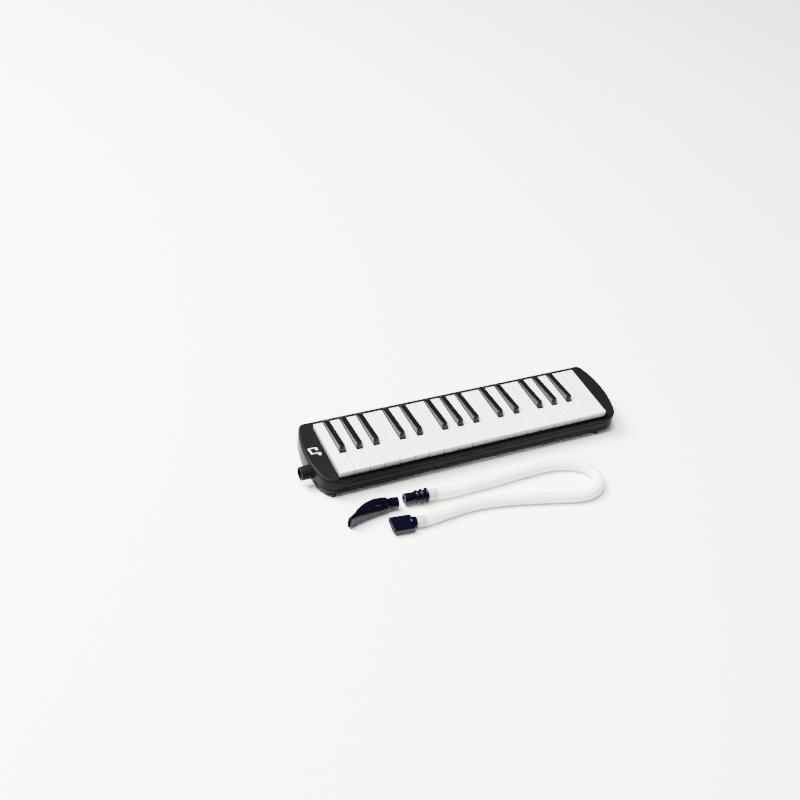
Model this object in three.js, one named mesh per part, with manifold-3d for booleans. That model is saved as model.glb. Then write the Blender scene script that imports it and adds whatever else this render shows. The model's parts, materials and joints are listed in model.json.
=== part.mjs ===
// A 32-key melodica with its mouthpiece and its blowing hose. Millimetres, +Z up.
// X runs along the keyboard from bass to treble, and the player sits on the -Y side.
// The origin is the centre of the lower case's flat underside.
import * as THREE from 'three';
import { mergeVertices } from 'three/addons/utils/BufferGeometryUtils.js';
import Module from 'manifold-3d';

const wasm = await Module();
wasm.setup();

// ---------------------------------------------------------------- driving dimensions
const gap = 0.3;                    // between pieces that touch or nest
const through = 1;                  // how far a cutter runs past the wall that it cuts

// keyboard
const whiteNames = 'FGABCDEFGABCDEFGABC'.split('');
const whitePitch = 18.4;
const whiteLength = 80.4;
const whiteHeight = 7.8;
const keyGap = 0.6;
const keyWall = 1.5;
const keyRoof = 2.2;
const keyTop = 29.4;
const blackLength = 51;
const blackBaseWidth = 7.8;
const blackTopWidth = 6.5;
const blackRiseFront = 6.4;
const blackRiseRear = 2.4;
const blackNose = 3.9;                // how far the sloping front leans back
const blackFrontGap = 1.2;          // room for the nose, which swings forward as the key goes down
const blackRoof = 2;
const blackShift = { F: -2.4, G: -0.3, A: 2.2, C: -1.8, D: 1.8 };  // from the joint right of it

// key lever
const pivotFromRear = 23.6;
const rodRadius = 1.25;
const rodClearance = 0.35;
const hubWall = 0.75;
const webWidth = 2.4;
const webAbovePlate = 1.5;
const webLead = 8.5;                // web in front of the pivot
const padWidth = 6;
const padLength = 9;
const padFromPivot = 16;
const whiteDip = 4;                 // degrees of key travel

// case
const endCap = 24.8;
const frontRail = 4.1;
const rearRail = 7.2;
const caseWall = 2.2;
const lipWall = 1.8;
const endRadius = 110;
const frontCorner = 18;
const rearCorner = 9;
const splitHeight = 8.5;            // top of the lower case
const frontRailTop = 20.1;
const endTopFront = 22.5;
const endTopRear = 28;
const roofWall = 2.4;
const topRound = 3.2;
const floorWall = 2.2;
const baseInset = 1.9;              // how far the lower case draws in towards its base
const baseRound = 1.2;
const rimHeight = 1.2;
const grooveHeight = 1;
const grooveDepth = 0.7;
const grooveBelowRail = 3;

// wind chest and valves
const chestTop = 14;
const chestWall = 1.8;
const chestFloor = 1.6;
const chestFromFront = 19.6;        // behind the front of the keys
const chestPastKeys = 1.6;          // behind their rear
const chestOverhang = 2.4;          // past each end of the keyboard
const gasketThickness = 0.6;
const gasketWidth = 2.6;
const plateThickness = 1.6;
const slotWidth = 4;
const slotLength = 7;
const postWidth = 3;
const reedPlateThickness = 1;
const reedWidth = 2.8;
const reedThickness = 0.35;
const reedLong = 24;                // lowest note
const reedShort = 11;               // highest note
const reedSlotClearance = 0.4;

// spring comb and key stop
const combThickness = 0.35;
const combSpine = 5;
const combFinger = 3;
const combFromPivot = 23;
const feltWidth = 5;
const feltThickness = 2.4;
const feltBehindKeyFront = 2;

// blowing end
const inletWall = 1.6;
const inletLength = 11.4;           // past the end of the case
const inletFromChestFront = 6;
const inletHeight = 14.2;
const socketDepth = 12.4;
const spigotRadius = 6.3;
const spigotClearance = 0.2;
const neckStep = 0.7;               // the neck is this much thinner than the spigot
const neckWall = 1.6;
const boxLength = 11;
const boxSide = 3.4;                // from the neck to the outside of the inlet box
const boxRoofWall = 0.8;
const sealThickness = 1.6;
const sealWidth = 1.4;

// water valve at the treble end
const buttonRadius = 3.5;
const buttonProud = 3;
const buttonFlange = 1.2;
const flangeStep = 1;
const buttonCap = 3.5;
const stemRadius = 1.8;
const stemHead = 2.8;
const drainSealRadius = 3.4;
const drainSealThickness = 1.6;
const springWire = 0.4;
const springTurns = 5;

// feet and screws
const footRadius = 3.6;
const footTip = 3;
const footSeat = 0.8;               // depth of the recess round its head
const footHeight = 4.9;
const footStem = 1.8;
const footFromLeftEnd = 20.6;
const footFromRightEnd = 30.6;
const footFromEdge = 3.35;          // from the edge of the base
const screwFromEnd = 17;
const screwFromSide = 13.5;
const screwRadius = 1.3;
const screwHead = 2.9;
const screwHeadHeight = 2;
const screwRecess = 3;
const screwLength = 15;
const bossRadius = 3.6;
const bossFootRadius = 5.2;

// hose set and mouthpiece, lying on the surface in front of the case
const hoseRadius = 6.35;
const hoseSides = 8;
const hoseSteps = 64;
const spigotLength = 12.3;
const ribHeight = 2.2;
const ribPitch = 5.9;
const ribCount = 3;
const ribWidth = 3.4;
const ribRoot = 0.4;                // between the ribs, over the spigot
const ribTaper = 0.4;               // each rib towards the case is this much lower
const ribRound = 0.7;
const ribEnd = 0.4;                 // past the last rib
const spigotWall = 1.7;
const collarRadius = 6.8;
const collarLength = 2.5;            // past the flat part
const collarLead = 6;               // inside it
const flatWidth = 22;
const flatThickness = 7.8;
const flatLength = 26;
const flatWall = 1.3;
const mouthSlot = 15;
const mouthTipThickness = 6.3;
const mouthSwell = 3.1;             // body over spigot
const mouthWall = 1.3;

// ---------------------------------------------------------------- derived sizes
const keyboardHalf = whiteNames.length * whitePitch / 2;
const caseHalf = keyboardHalf + endCap;
const caseDepth = frontRail + 2 * keyGap + whiteLength + rearRail;
const caseFront = -caseDepth / 2;
const keyFront = caseFront + frontRail + keyGap;
const keyRear = keyFront + whiteLength;
const pivotY = keyRear - pivotFromRear;
const skirt = keyTop - whiteHeight;
const ground = -footHeight;
const wellHalf = keyboardHalf + keyGap;
const wellRear = keyRear + keyGap;
const chestHalf = keyboardHalf + chestOverhang;
const chestFront = keyFront + chestFromFront;
const chestRear = keyRear + chestPastKeys;
const chestBottom = floorWall + 2 * gap;
const gasketBottom = chestTop + gap;
const plateBottom = gasketBottom + gasketThickness + gap;
const plateTop = plateBottom + plateThickness;
const hubRadius = rodRadius + rodClearance + hubWall;
const pivotHeight = plateTop + gap + hubRadius;
const webBottom = plateTop + webAbovePlate;
const combFront = pivotY - combFromPivot;
const whiteDrop = (pivotY - keyFront) * Math.sin(whiteDip * Math.PI / 180);
const feltTop = skirt - whiteDrop - gap;
const feltFront = keyFront + feltBehindKeyFront;
const upperBottom = splitHeight + gap;
const screwTip = screwRecess - gap - screwHeadHeight + screwLength;
const inletRadius = spigotRadius + spigotClearance + inletWall;
const inletY = chestFront + inletFromChestFront;
const neckRadius = spigotRadius - neckStep;
const airRadius = neckRadius - neckWall;
const boxStart = chestHalf + boxLength;
const boxHalfDepth = neckRadius + boxSide;
const sealRadius = neckRadius + gap + sealWidth;
const sealEnd = -boxStart - gap - sealThickness;
const boxRoof = inletHeight + neckRadius + gap + boxRoofWall;
const drainHeight = chestTop - drainSealRadius - gap;
const ribRadius = spigotRadius + ribRoot + ribHeight;
const connectorBore = spigotRadius - spigotWall;
const mouthBodyRadius = spigotRadius + mouthSwell;

// ---------------------------------------------------------------- solids and booleans
const { Vector2, Vector3 } = THREE;

function toSolid(geometry) {
  const bare = new THREE.BufferGeometry();
  bare.setAttribute('position', geometry.attributes.position.clone());
  if (geometry.index) bare.setIndex(geometry.index.clone());
  const merged = mergeVertices(bare, 1e-4);
  return new wasm.Manifold(new wasm.Mesh({
    numProp: 3,
    vertProperties: new Float32Array(merged.attributes.position.array),
    triVerts: new Uint32Array(merged.index.array),
  }));
}

function toGeometry(solid) {
  const mesh = solid.getMesh();
  const geometry = new THREE.BufferGeometry();
  geometry.setAttribute('position', new THREE.BufferAttribute(mesh.vertProperties, 3));
  geometry.setIndex(new THREE.BufferAttribute(mesh.triVerts, 1));
  return geometry;
}

const join = (...solids) => solids.reduce((whole, next) => whole.add(next));
const cut = (solid, ...tools) => tools.reduce((left, tool) => left.subtract(tool), solid);

function box(x, y, z) {
  const geometry = new THREE.BoxGeometry(x[1] - x[0], y[1] - y[0], z[1] - z[0]);
  geometry.translate((x[0] + x[1]) / 2, (y[0] + y[1]) / 2, (z[0] + z[1]) / 2);
  return toSolid(geometry);
}

// A round bar along X, from x[0] to x[1].
function barX(radius, x, y, z, sides = 20) {
  const geometry = new THREE.CylinderGeometry(radius, radius, x[1] - x[0], sides);
  geometry.rotateZ(Math.PI / 2).translate((x[0] + x[1]) / 2, y, z);
  return toSolid(geometry);
}

// A round bar along Z.
function barZ(radius, x, y, z, sides = 12) {
  const geometry = new THREE.CylinderGeometry(radius, radius, z[1] - z[0], sides);
  geometry.rotateX(Math.PI / 2).translate(x, y, (z[0] + z[1]) / 2);
  return toSolid(geometry);
}

// A turned solid about Z: profile is a list of [radius, height].
function turned(profile, sides = 12) {
  const points = profile.map(([radius, height]) => new Vector2(radius, height));
  return new THREE.LatheGeometry(points, sides).rotateX(Math.PI / 2);
}

// A prism: an XY outline raised between two heights.
function prism(points, z) {
  const depth = z[1] - z[0];
  const shape = new THREE.Shape(points);
  return toSolid(new THREE.ExtrudeGeometry(shape, { depth, bevelEnabled: false }).translate(0, 0, z[0]));
}

// A closed solid through a stack of rings with the same number of points, listed anticlockwise
// about the direction in which the stack runs.
function loft(rings) {
  const count = rings[0].length;
  const positions = rings.flat().flatMap((p) => [p.x, p.y, p.z]);
  const index = [];
  for (let r = 0; r + 1 < rings.length; r++) {
    for (let i = 0; i < count; i++) {
      const a = r * count + i;
      const b = r * count + (i + 1) % count;
      index.push(a, b, b + count, a, b + count, a + count);
    }
  }
  const axis = centre(rings.at(-1)).sub(centre(rings[0]));
  const caps = [[rings[0], 0, true], [rings.at(-1), (rings.length - 1) * count, false]];
  for (const [ring, start, flip] of caps) {
    const across = ring[0].clone().sub(centre(ring)).cross(axis).normalize();
    const up = axis.clone().cross(across).normalize();
    const flat = ring.map((p) => new Vector2(p.dot(across), p.dot(up)));
    for (const [a, b, c] of THREE.ShapeUtils.triangulateShape(flat, [])) {
      index.push(...(flip ? [c, b, a] : [a, b, c]).map((i) => i + start));
    }
  }
  const geometry = new THREE.BufferGeometry();
  geometry.setAttribute('position', new THREE.Float32BufferAttribute(positions, 3));
  geometry.setIndex(index);
  return geometry;
}

function centre(ring) {
  return ring.reduce((sum, p) => sum.add(p), new Vector3()).divideScalar(ring.length);
}

// ---------------------------------------------------------------- scene graph
const melodica = new THREE.Group();

const finish = (color, roughness, metalness = 0) =>
  new THREE.MeshStandardMaterial({ color, roughness, metalness });
const caseBlack = finish(0x1d1d1e, 0.35);
const whitePlastic = finish(0xf1f1ee, 0.25);
const blackPlastic = finish(0x161617, 0.2);
const chestPlastic = finish(0x2a2a2c, 0.5);
const steel = finish(0xb9bcc0, 0.3, 1);
const brass = finish(0xb5924c, 0.35, 1);
const rubber = finish(0x121212, 0.8);
const felt = finish(0x7a1e22, 0.95);
const fittingBlack = finish(0x0d0d14, 0.15);
const milkyHose = finish(0xece6dd, 0.4);

function add(name, shape, material, parent = melodica) {
  const geometry = shape.isBufferGeometry ? shape : toGeometry(shape);
  const mesh = new THREE.Mesh(geometry, material);
  mesh.name = name;
  parent.add(mesh);
  return mesh;
}

// ---------------------------------------------------------------- case outline
// Half of the outline is a front corner, a long shallow end arc and a rear corner, all true
// offsets of each other; inset moves the whole outline in.
function caseOutline(inset) {
  const arcCentre = caseHalf - endRadius;
  const corner = (radius, side) => {
    const y = side * (caseDepth / 2 - radius);
    const x = arcCentre + Math.sqrt((endRadius - radius) ** 2 - y ** 2);
    return { x, y, radius: radius - inset, angle: Math.atan2(y, x - arcCentre) };
  };
  const front = corner(frontCorner, -1);
  const rear = corner(rearCorner, 1);
  const arc = (x, y, radius, from, to, steps) => Array.from({ length: steps + 1 }, (_, i) => {
    const angle = from + (to - from) * i / steps;
    return new Vector2(x + radius * Math.cos(angle), y + radius * Math.sin(angle));
  });
  const right = [
    ...arc(front.x, front.y, front.radius, -Math.PI / 2, front.angle, 4),
    ...arc(arcCentre, 0, endRadius - inset, front.angle, rear.angle, 6).slice(1, -1),
    ...arc(rear.x, rear.y, rear.radius, rear.angle, Math.PI / 2, 3),
  ];
  const left = right.map((p) => new Vector2(-p.x, p.y)).reverse();
  return [...right, ...left];
}

// The top of the end caps is one plane that rises from front to rear.
function topPlane(y) {
  const share = (y - caseFront) / caseDepth;
  return endTopFront + share * (endTopRear - endTopFront);
}

const caseRing = (inset, height) => caseOutline(inset).map((p) => new Vector3(p.x, p.y, height(p.y)));

const fourPlaces = (left, right, y) => [[left, -y], [right, -y], [left, y], [right, y]];
const screwX = caseHalf - screwFromEnd;
const screwPlaces = fourPlaces(-screwX, screwX, caseDepth / 2 - screwFromSide);
const footPlaces = fourPlaces(footFromLeftEnd - caseHalf, caseHalf - footFromRightEnd,
  caseDepth / 2 - baseInset - footFromEdge);

// The button's hole runs through the joint of the two cases.
const buttonHole = () => (
  barX(buttonRadius + gap, [chestHalf + 2 * lipWall, caseHalf + through], inletY, drainHeight));

// ---------------------------------------------------------------- lower case
// The lower case draws in evenly from its rim down to its base, and its bottom edge is rounded.
function lowerRing(z, wall) {
  const rimStart = splitHeight - rimHeight;
  const share = Math.min(1, Math.max(0, (rimStart - z) / (rimStart - baseRound)));
  return caseRing(share * baseInset + wall, () => z);
}

function lowerCase() {
  const rimStart = splitHeight - rimHeight;
  const base = caseRing(baseInset + baseRound, () => 0);
  const outer = toSolid(loft([base, ...[baseRound, rimStart, splitHeight].map((z) => lowerRing(z, 0))]));
  const insideHeights = [floorWall, rimStart, splitHeight + through];
  const inner = toSolid(loft(insideHeights.map((z) => lowerRing(z, caseWall))));
  const stopRail = box([-keyboardHalf + whitePitch / 4, keyboardHalf - whitePitch / 4],
    [feltFront + gap, feltFront + feltWidth - gap], [floorWall / 2, feltTop - feltThickness - gap]);
  const bosses = screwPlaces.map(([x, y]) => barZ(bossFootRadius, x, y, [floorWall / 2, splitHeight]));
  const screwCuts = screwPlaces.flatMap(([x, y]) => [
    barZ(screwHead + gap, x, y, [-through, screwRecess]),
    barZ(screwRadius + gap, x, y, [-through, splitHeight + through], 8),
  ]);
  const footCuts = footPlaces.flatMap(([x, y]) => [
    barZ(footStem + gap, x, y, [-through, floorWall + through], 8),
    barZ(footRadius + gap, x, y, [-through, footSeat]),
  ]);
  return cut(join(cut(outer, inner), stopRail, ...bosses), ...screwCuts, ...footCuts, buttonHole());
}

// ---------------------------------------------------------------- upper case
function upperCase() {
  const outer = toSolid(loft([
    caseRing(0, () => upperBottom),
    caseRing(0, (y) => topPlane(y) - topRound),
    caseRing(topRound * 0.3, (y) => topPlane(y) - topRound * 0.3),
    caseRing(topRound, topPlane),
  ]));
  const inner = toSolid(loft([
    caseRing(caseWall, () => upperBottom - through),
    caseRing(caseWall, (y) => topPlane(y) - roofWall - topRound / 2),
    caseRing(caseWall + topRound / 2, (y) => topPlane(y) - roofWall),
  ]));
  const wellFront = caseFront + frontRail;
  const well = box([-wellHalf, wellHalf], [wellFront, wellRear], [-through, keyTop]);
  const aboveRail = box([-wellHalf, wellHalf], [caseFront - through, wellRear], [frontRailTop, keyTop]);
  const sideTop = (side) => [side * wellHalf, side * (wellHalf + lipWall)].sort((a, b) => a - b);
  const lipsIn = [
    box([-wellHalf, wellHalf], [caseFront, wellFront], [frontRailTop - roofWall, frontRailTop]),
    box([-wellHalf, wellHalf], [wellRear, wellRear + lipWall], [plateTop + gap, keyTop]),
    box(sideTop(-1), [caseFront, wellRear + lipWall], [plateTop + gap, keyTop]),
    box(sideTop(1), [caseFront, wellRear + lipWall], [plateTop + gap, keyTop]),
  ].map((lip) => lip.intersect(outer));
  const bosses = screwPlaces.map(([x, y]) => (
    barZ(bossRadius, x, y, [upperBottom, topPlane(y) - roofWall / 2])
  ));
  const screwCuts = screwPlaces.map(([x, y]) => (
    barZ(screwRadius + gap, x, y, [upperBottom - through, screwTip + gap], 8)
  ));
  const boxRoom = box([-boxStart - gap, -wellHalf + through],
    [inletY - boxHalfDepth - gap, inletY + boxHalfDepth + gap], [upperBottom - through, boxRoof + gap]);
  const neckHole = barX(neckRadius + gap, [-caseHalf - through, -boxStart], inletY, inletHeight);
  const sealRoom = barX(sealRadius + gap, [sealEnd - gap, -boxStart], inletY, inletHeight);
  const rodHole = barX(rodRadius + gap, [-chestHalf - through, chestHalf + through],
    pivotY, pivotHeight, 10);
  const grooveTop = frontRailTop - grooveBelowRail;
  const groove = box([-wellHalf, wellHalf], [caseFront - through, caseFront + grooveDepth],
    [grooveTop - grooveHeight, grooveTop]);
  const shell = cut(cut(outer, inner), well, aboveRail);
  return cut(join(shell, ...lipsIn, ...bosses), ...screwCuts, boxRoom, neckHole, sealRoom, rodHole,
    buttonHole(), groove);
}

add('lower_case', lowerCase(), caseBlack);
add('upper_case', upperCase(), caseBlack);

// ---------------------------------------------------------------- keys
// Each key has a plan outline, a centre line and its place along the keyboard.
const isRaised = (name) => name in blackShift;

function whiteOutline(i, inset) {
  const half = (whitePitch - keyGap) / 2 - inset;
  const notchFront = keyRear - blackLength - blackFrontGap - inset;
  const leftName = whiteNames[i - 1];
  const rightName = whiteNames[i];
  const hasLeft = i > 0 && isRaised(leftName);
  const hasRight = i < whiteNames.length - 1 && isRaised(rightName);
  const reach = blackBaseWidth / 2 + keyGap;
  const leftRear = hasLeft ? -whitePitch / 2 + blackShift[leftName] + reach + inset : -half;
  const rightRear = hasRight ? whitePitch / 2 + blackShift[rightName] - reach - inset : half;
  const front = keyFront + inset;
  const rear = keyRear - inset;
  const points = [new Vector2(-half, front), new Vector2(half, front)];
  if (hasRight) points.push(new Vector2(half, notchFront), new Vector2(rightRear, notchFront));
  points.push(new Vector2(rightRear, rear), new Vector2(leftRear, rear));
  if (hasLeft) points.push(new Vector2(leftRear, notchFront), new Vector2(-half, notchFront));
  return { points, webX: (leftRear + rightRear) / 2 };
}

// The lever under a key: a web on the pivot rod, and behind it the pad that shuts the valve.
function lever(x, roof) {
  const padY = pivotY + padFromPivot;
  const web = box([x - webWidth / 2, x + webWidth / 2], [pivotY - webLead, keyRear - keyWall / 2],
    [webBottom, roof]);
  const hub = barX(hubRadius, [x - webWidth / 2, x + webWidth / 2], pivotY, pivotHeight, 8);
  const pad = box([x - padWidth / 2, x + padWidth / 2], [padY - padLength / 2, padY + padLength / 2],
    [plateTop + gap, webBottom + gap]);
  const bore = barX(rodRadius + rodClearance, [x - whitePitch, x + whitePitch], pivotY, pivotHeight, 8);
  return { solid: join(web, hub, pad), bore };
}

function whiteKey(i) {
  const { points, webX } = whiteOutline(i, 0);
  const body = prism(points, [skirt, keyTop]);
  const hollow = prism(whiteOutline(i, keyWall).points, [skirt - through, keyTop - keyRoof]);
  const { solid, bore } = lever(webX, keyTop - keyRoof / 2);
  return { solid: cut(join(cut(body, hollow), solid), bore), webX };
}

function blackRings(inset, drop) {
  const front = keyRear - blackLength + inset;
  const rear = keyRear - inset;
  const ring = (width, start, height) => [
    [-1, start], [1, start], [1, rear], [-1, rear],
  ].map(([side, y]) => {
    const share = (y - front) / (rear - front);
    return new Vector3(side * (width / 2 - inset), y, height(share));
  });
  const edge = 1;
  const top = (share) => keyTop + blackRiseFront + share * (blackRiseRear - blackRiseFront) - drop;
  return [
    ring(blackBaseWidth, front, () => skirt - (inset ? through : 0)),
    ring(blackBaseWidth, front, () => keyTop - drop / 2),
    ring(blackTopWidth + edge, front + blackNose - edge, (share) => top(share) - edge),
    ring(blackTopWidth - edge, front + blackNose, top),
  ];
}

function blackKey() {
  const body = toSolid(loft(blackRings(0, 0)));
  const hollow = toSolid(loft(blackRings(keyWall, blackRoof)));
  const { solid, bore } = lever(0, keyTop);
  return cut(join(cut(body, hollow), solid), bore);
}

const keyPlaces = [];
const octaveOf = (i) => 3 + Math.floor((i + 3) / 7);
for (let i = 0; i < whiteNames.length; i++) {
  const name = whiteNames[i];
  const x = -keyboardHalf + (i + 0.5) * whitePitch;
  const { solid, webX } = whiteKey(i);
  add(`key_${name.toLowerCase()}${octaveOf(i)}`, solid, whitePlastic).position.x = x;
  keyPlaces.push(x + webX);
  if (i + 1 < whiteNames.length && isRaised(name)) {
    const sharpX = x + whitePitch / 2 + blackShift[name];
    add(`key_${name.toLowerCase()}_sharp${octaveOf(i)}`, blackKey(), blackPlastic).position.x = sharpX;
    keyPlaces.push(sharpX);
  }
}
keyPlaces.sort((a, b) => a - b);

add('key_pivot_rod', barX(rodRadius, [-chestHalf, chestHalf], pivotY, pivotHeight, 10), steel);

// ---------------------------------------------------------------- wind chest
function windChest() {
  const tray = box([-chestHalf, chestHalf], [chestFront, chestRear], [chestBottom, chestTop]);
  const trayRoom = box([-chestHalf + chestWall, chestHalf - chestWall],
    [chestFront + chestWall, chestRear - chestWall], [chestBottom + chestFloor, chestTop + through]);
  const side = [inletY - boxHalfDepth, inletY + boxHalfDepth];
  const air = [side[0] + chestWall, side[1] - chestWall];
  const inlet = box([-boxStart, -chestHalf + chestWall], side, [chestBottom + chestFloor, boxRoof]);
  const inletRoom = box([-boxStart + chestWall, -chestHalf], air,
    [chestBottom + 2 * chestFloor, boxRoof - chestFloor]);
  const doorway = box([-chestHalf - through, -chestHalf + chestWall + through], air,
    [chestBottom + 2 * chestFloor, chestTop - chestFloor]);
  const trayOverInlet = box([-chestHalf, -chestHalf + 2 * chestWall], side, [chestTop, boxRoof + through]);
  const socket = barX(neckRadius + gap, [-boxStart - through, -boxStart + 2 * chestWall],
    inletY, inletHeight);
  const stemHole = barX(stemRadius + gap, [chestHalf - 2 * chestWall, chestHalf + through],
    inletY, drainHeight, 12);
  const whole = join(cut(tray, trayRoom), cut(inlet, inletRoom, trayOverInlet));
  return cut(whole, doorway, socket, stemHole);
}
add('wind_chest', windChest(), chestPlastic);

const chestGasket = cut(
  box([-chestHalf, chestHalf], [chestFront, chestRear], [gasketBottom, gasketBottom + gasketThickness]),
  box([-chestHalf + gasketWidth, chestHalf - gasketWidth],
    [chestFront + gasketWidth, chestRear - gasketWidth],
    [gasketBottom - through, gasketBottom + gasketThickness + through]),
);
add('chest_gasket', chestGasket, rubber);

// The valve plate shuts the chest. It has one slot under each pad, and posts that carry the rod
// between the webs of neighbouring keys.
const slotY = pivotY + padFromPivot;
function valvePlate() {
  const plate = box([-chestHalf, chestHalf], [chestFront, chestRear], [plateBottom, plateTop]);
  const slots = keyPlaces.map((x) => box([x - slotWidth / 2, x + slotWidth / 2],
    [slotY - slotLength / 2, slotY + slotLength / 2], [plateBottom - through, plateTop + through]));
  const postTop = pivotHeight + rodRadius + rodClearance;
  const middles = [4, 12, 19, 26].map((i) => (keyPlaces[i] + keyPlaces[i + 1]) / 2);
  const posts = middles.map((x) => box([x - postWidth / 2, x + postWidth / 2],
    [pivotY - postWidth, pivotY + postWidth], [plateTop - gap, postTop]));
  const bore = barX(rodRadius + gap, [-chestHalf - through, chestHalf + through], pivotY, pivotHeight, 10);
  return cut(join(plate, ...posts), ...slots, bore);
}
add('valve_plate', valvePlate(), chestPlastic);

// ---------------------------------------------------------------- reeds
// Each plate carries a tongue over a slot for every note, longer towards the bass.
function reedPlate(first, last, x) {
  const top = plateBottom - gap;
  const bottom = top - reedPlateThickness;
  const front = chestFront + gasketWidth + gap;
  const plate = box(x, [slotY - slotLength / 2 - reedLong, chestRear - gasketWidth - gap], [bottom, top]);
  const slots = [];
  const tongues = [];
  for (let i = first; i < last; i++) {
    const at = keyPlaces[i];
    const length = reedLong + (reedShort - reedLong) * i / (keyPlaces.length - 1);
    const start = Math.max(front, slotY + slotLength / 2 - length);
    slots.push(box([at - reedWidth / 2 - reedSlotClearance, at + reedWidth / 2 + reedSlotClearance],
      [start, slotY + slotLength / 2], [bottom - through, top + through]));
    tongues.push(box([at - reedWidth / 2, at + reedWidth / 2],
      [start - reedWidth, slotY + slotLength / 2 - reedSlotClearance],
      [bottom - reedThickness, bottom + gap / 2]));
  }
  return join(cut(plate, ...slots), ...tongues);
}
const reedSplit = keyPlaces.length / 2;
const plateEnd = chestHalf - gasketWidth - gap;
const plateMiddle = (keyPlaces[reedSplit - 1] + keyPlaces[reedSplit]) / 2;
add('reed_plate_low', reedPlate(0, reedSplit, [-plateEnd, plateMiddle - gap]), brass);
add('reed_plate_high', reedPlate(reedSplit, keyPlaces.length, [plateMiddle + gap, plateEnd]), brass);

// ---------------------------------------------------------------- key springs and stop felt
function springComb() {
  const low = plateTop + gap;
  const spine = box([keyPlaces[0] - combFinger, keyPlaces.at(-1) + combFinger],
    [combFront, combFront + combSpine], [low, low + combThickness]);
  const fingers = keyPlaces.map((x) => box([x - combFinger / 2, x + combFinger / 2],
    [combFront + combSpine / 2, pivotY - webLead / 2], [low, low + combThickness]));
  return join(spine, ...fingers);
}
add('key_spring_comb', springComb(), steel);

add('key_stop_felt', box([-keyboardHalf + whitePitch / 4, keyboardHalf - whitePitch / 4],
  [feltFront, feltFront + feltWidth], [feltTop - feltThickness, feltTop]), felt);

// ---------------------------------------------------------------- blowing end
// A socket for the spigot of the mouthpiece or the hose, with a narrow neck into the chest.
function inletTube() {
  const mouth = -caseHalf - inletLength;
  const socketEnd = mouth + socketDepth;
  const clear = prism(caseOutline(-gap), [-footHeight, keyTop]);
  const collar = cut(barX(inletRadius, [mouth, frontCorner - caseHalf], inletY, inletHeight, 28), clear);
  const neckEnd = -boxStart + chestWall + gap;
  const neck = barX(neckRadius, [socketEnd - chestWall, neckEnd], inletY, inletHeight);
  const socket = barX(spigotRadius + spigotClearance, [mouth - through, socketEnd],
    inletY, inletHeight, 24);
  const air = barX(airRadius, [mouth, neckEnd + through], inletY, inletHeight, 16);
  return cut(join(collar, neck), socket, air);
}
add('inlet_tube', inletTube(), caseBlack);

const inletSeal = cut(
  barX(sealRadius, [sealEnd, -boxStart - gap], inletY, inletHeight),
  barX(neckRadius + gap, [sealEnd - through, -boxStart], inletY, inletHeight),
);
add('inlet_seal', inletSeal, rubber);

// ---------------------------------------------------------------- water valve
const drainX = chestHalf - chestWall;           // inner face of the chest's end wall
function drainButton() {
  const faceX = caseHalf - endRadius + Math.sqrt(endRadius ** 2 - inletY ** 2);
  const flangeEnd = faceX - caseWall - 2 * buttonFlange;
  const cap = barX(buttonRadius, [flangeEnd - buttonCap / 2, faceX + buttonProud], inletY, drainHeight);
  const flange = barX(buttonRadius + flangeStep, [flangeEnd - buttonCap, flangeEnd - buttonCap / 2],
    inletY, drainHeight);
  const stemEnd = drainX - gap - drainSealThickness - gap - buttonFlange;
  const stem = barX(stemRadius, [stemEnd, flangeEnd], inletY, drainHeight, 12);
  const head = barX(stemHead, [stemEnd, stemEnd + buttonFlange], inletY, drainHeight, 14);
  return { solid: join(cap, flange, stem, head), springEnd: flangeEnd - buttonCap };
}
const drain = drainButton();
add('drain_button', drain.solid, blackPlastic);
add('drain_seal', cut(
  barX(drainSealRadius, [drainX - gap - drainSealThickness, drainX - gap], inletY, drainHeight),
  barX(stemRadius + gap, [drainX - 2 * drainSealThickness, drainX + through], inletY, drainHeight, 12),
), rubber);

class Helix extends THREE.Curve {
  getPoint(t) {
    const angle = t * springTurns * 2 * Math.PI;
    const radius = stemRadius + gap + springWire + 0.5;
    const from = chestHalf + gap + springWire;
    const to = drain.springEnd - gap - springWire;
    return new Vector3(from + t * (to - from), inletY + radius * Math.cos(angle),
      drainHeight + radius * Math.sin(angle));
  }
}
const sectionOf = (radius, sides) => new THREE.Shape(Array.from({ length: sides }, (_, i) => (
  new Vector2(radius * Math.cos(2 * Math.PI * i / sides), radius * Math.sin(2 * Math.PI * i / sides)))));
add('drain_spring', toSolid(new THREE.ExtrudeGeometry(sectionOf(springWire, 5),
  { extrudePath: new Helix(), steps: springTurns * 10, bevelEnabled: false })), steel);

// ---------------------------------------------------------------- feet and screws
const corners = ['front_left', 'front_right', 'rear_left', 'rear_right'];
footPlaces.forEach(([x, y], i) => {
  const head = footSeat - gap;
  const foot = turned([[0, -footHeight], [footTip * 0.7, -footHeight], [footTip, -footHeight * 0.85],
    [footRadius, -1], [footRadius, head], [footStem, head], [footStem, floorWall - gap],
    [0, floorWall - gap]]);
  add(`foot_${corners[i]}`, foot, rubber).position.set(x, y, 0);
});
screwPlaces.forEach(([x, y], i) => {
  const seat = screwRecess - gap;
  const screw = turned([[0, seat - screwHeadHeight], [screwHead, seat - screwHeadHeight], [screwHead, seat],
    [screwRadius, seat], [screwRadius, screwTip], [0, screwTip]], 10);
  add(`case_screw_${corners[i]}`, screw, steel).position.set(x, y, 0);
});

// ---------------------------------------------------------------- mouthpiece
// It lies on its side, so that its bend is in the plane of the surface it lies on. Its middle line
// runs from the end of the spigot to the lips of the slot.
const mouthHeight = ground + mouthBodyRadius;
const mouthLine = new THREE.CatmullRomCurve3([
  [-119, -79.9], [-130.4, -78.6], [-139, -78.4], [-148.3, -78.8],
  [-159.5, -81.6], [-171.7, -87], [-182.3, -91.7],
].map(([x, y]) => new Vector3(x, y, mouthHeight)), false, 'centripetal');

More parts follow.
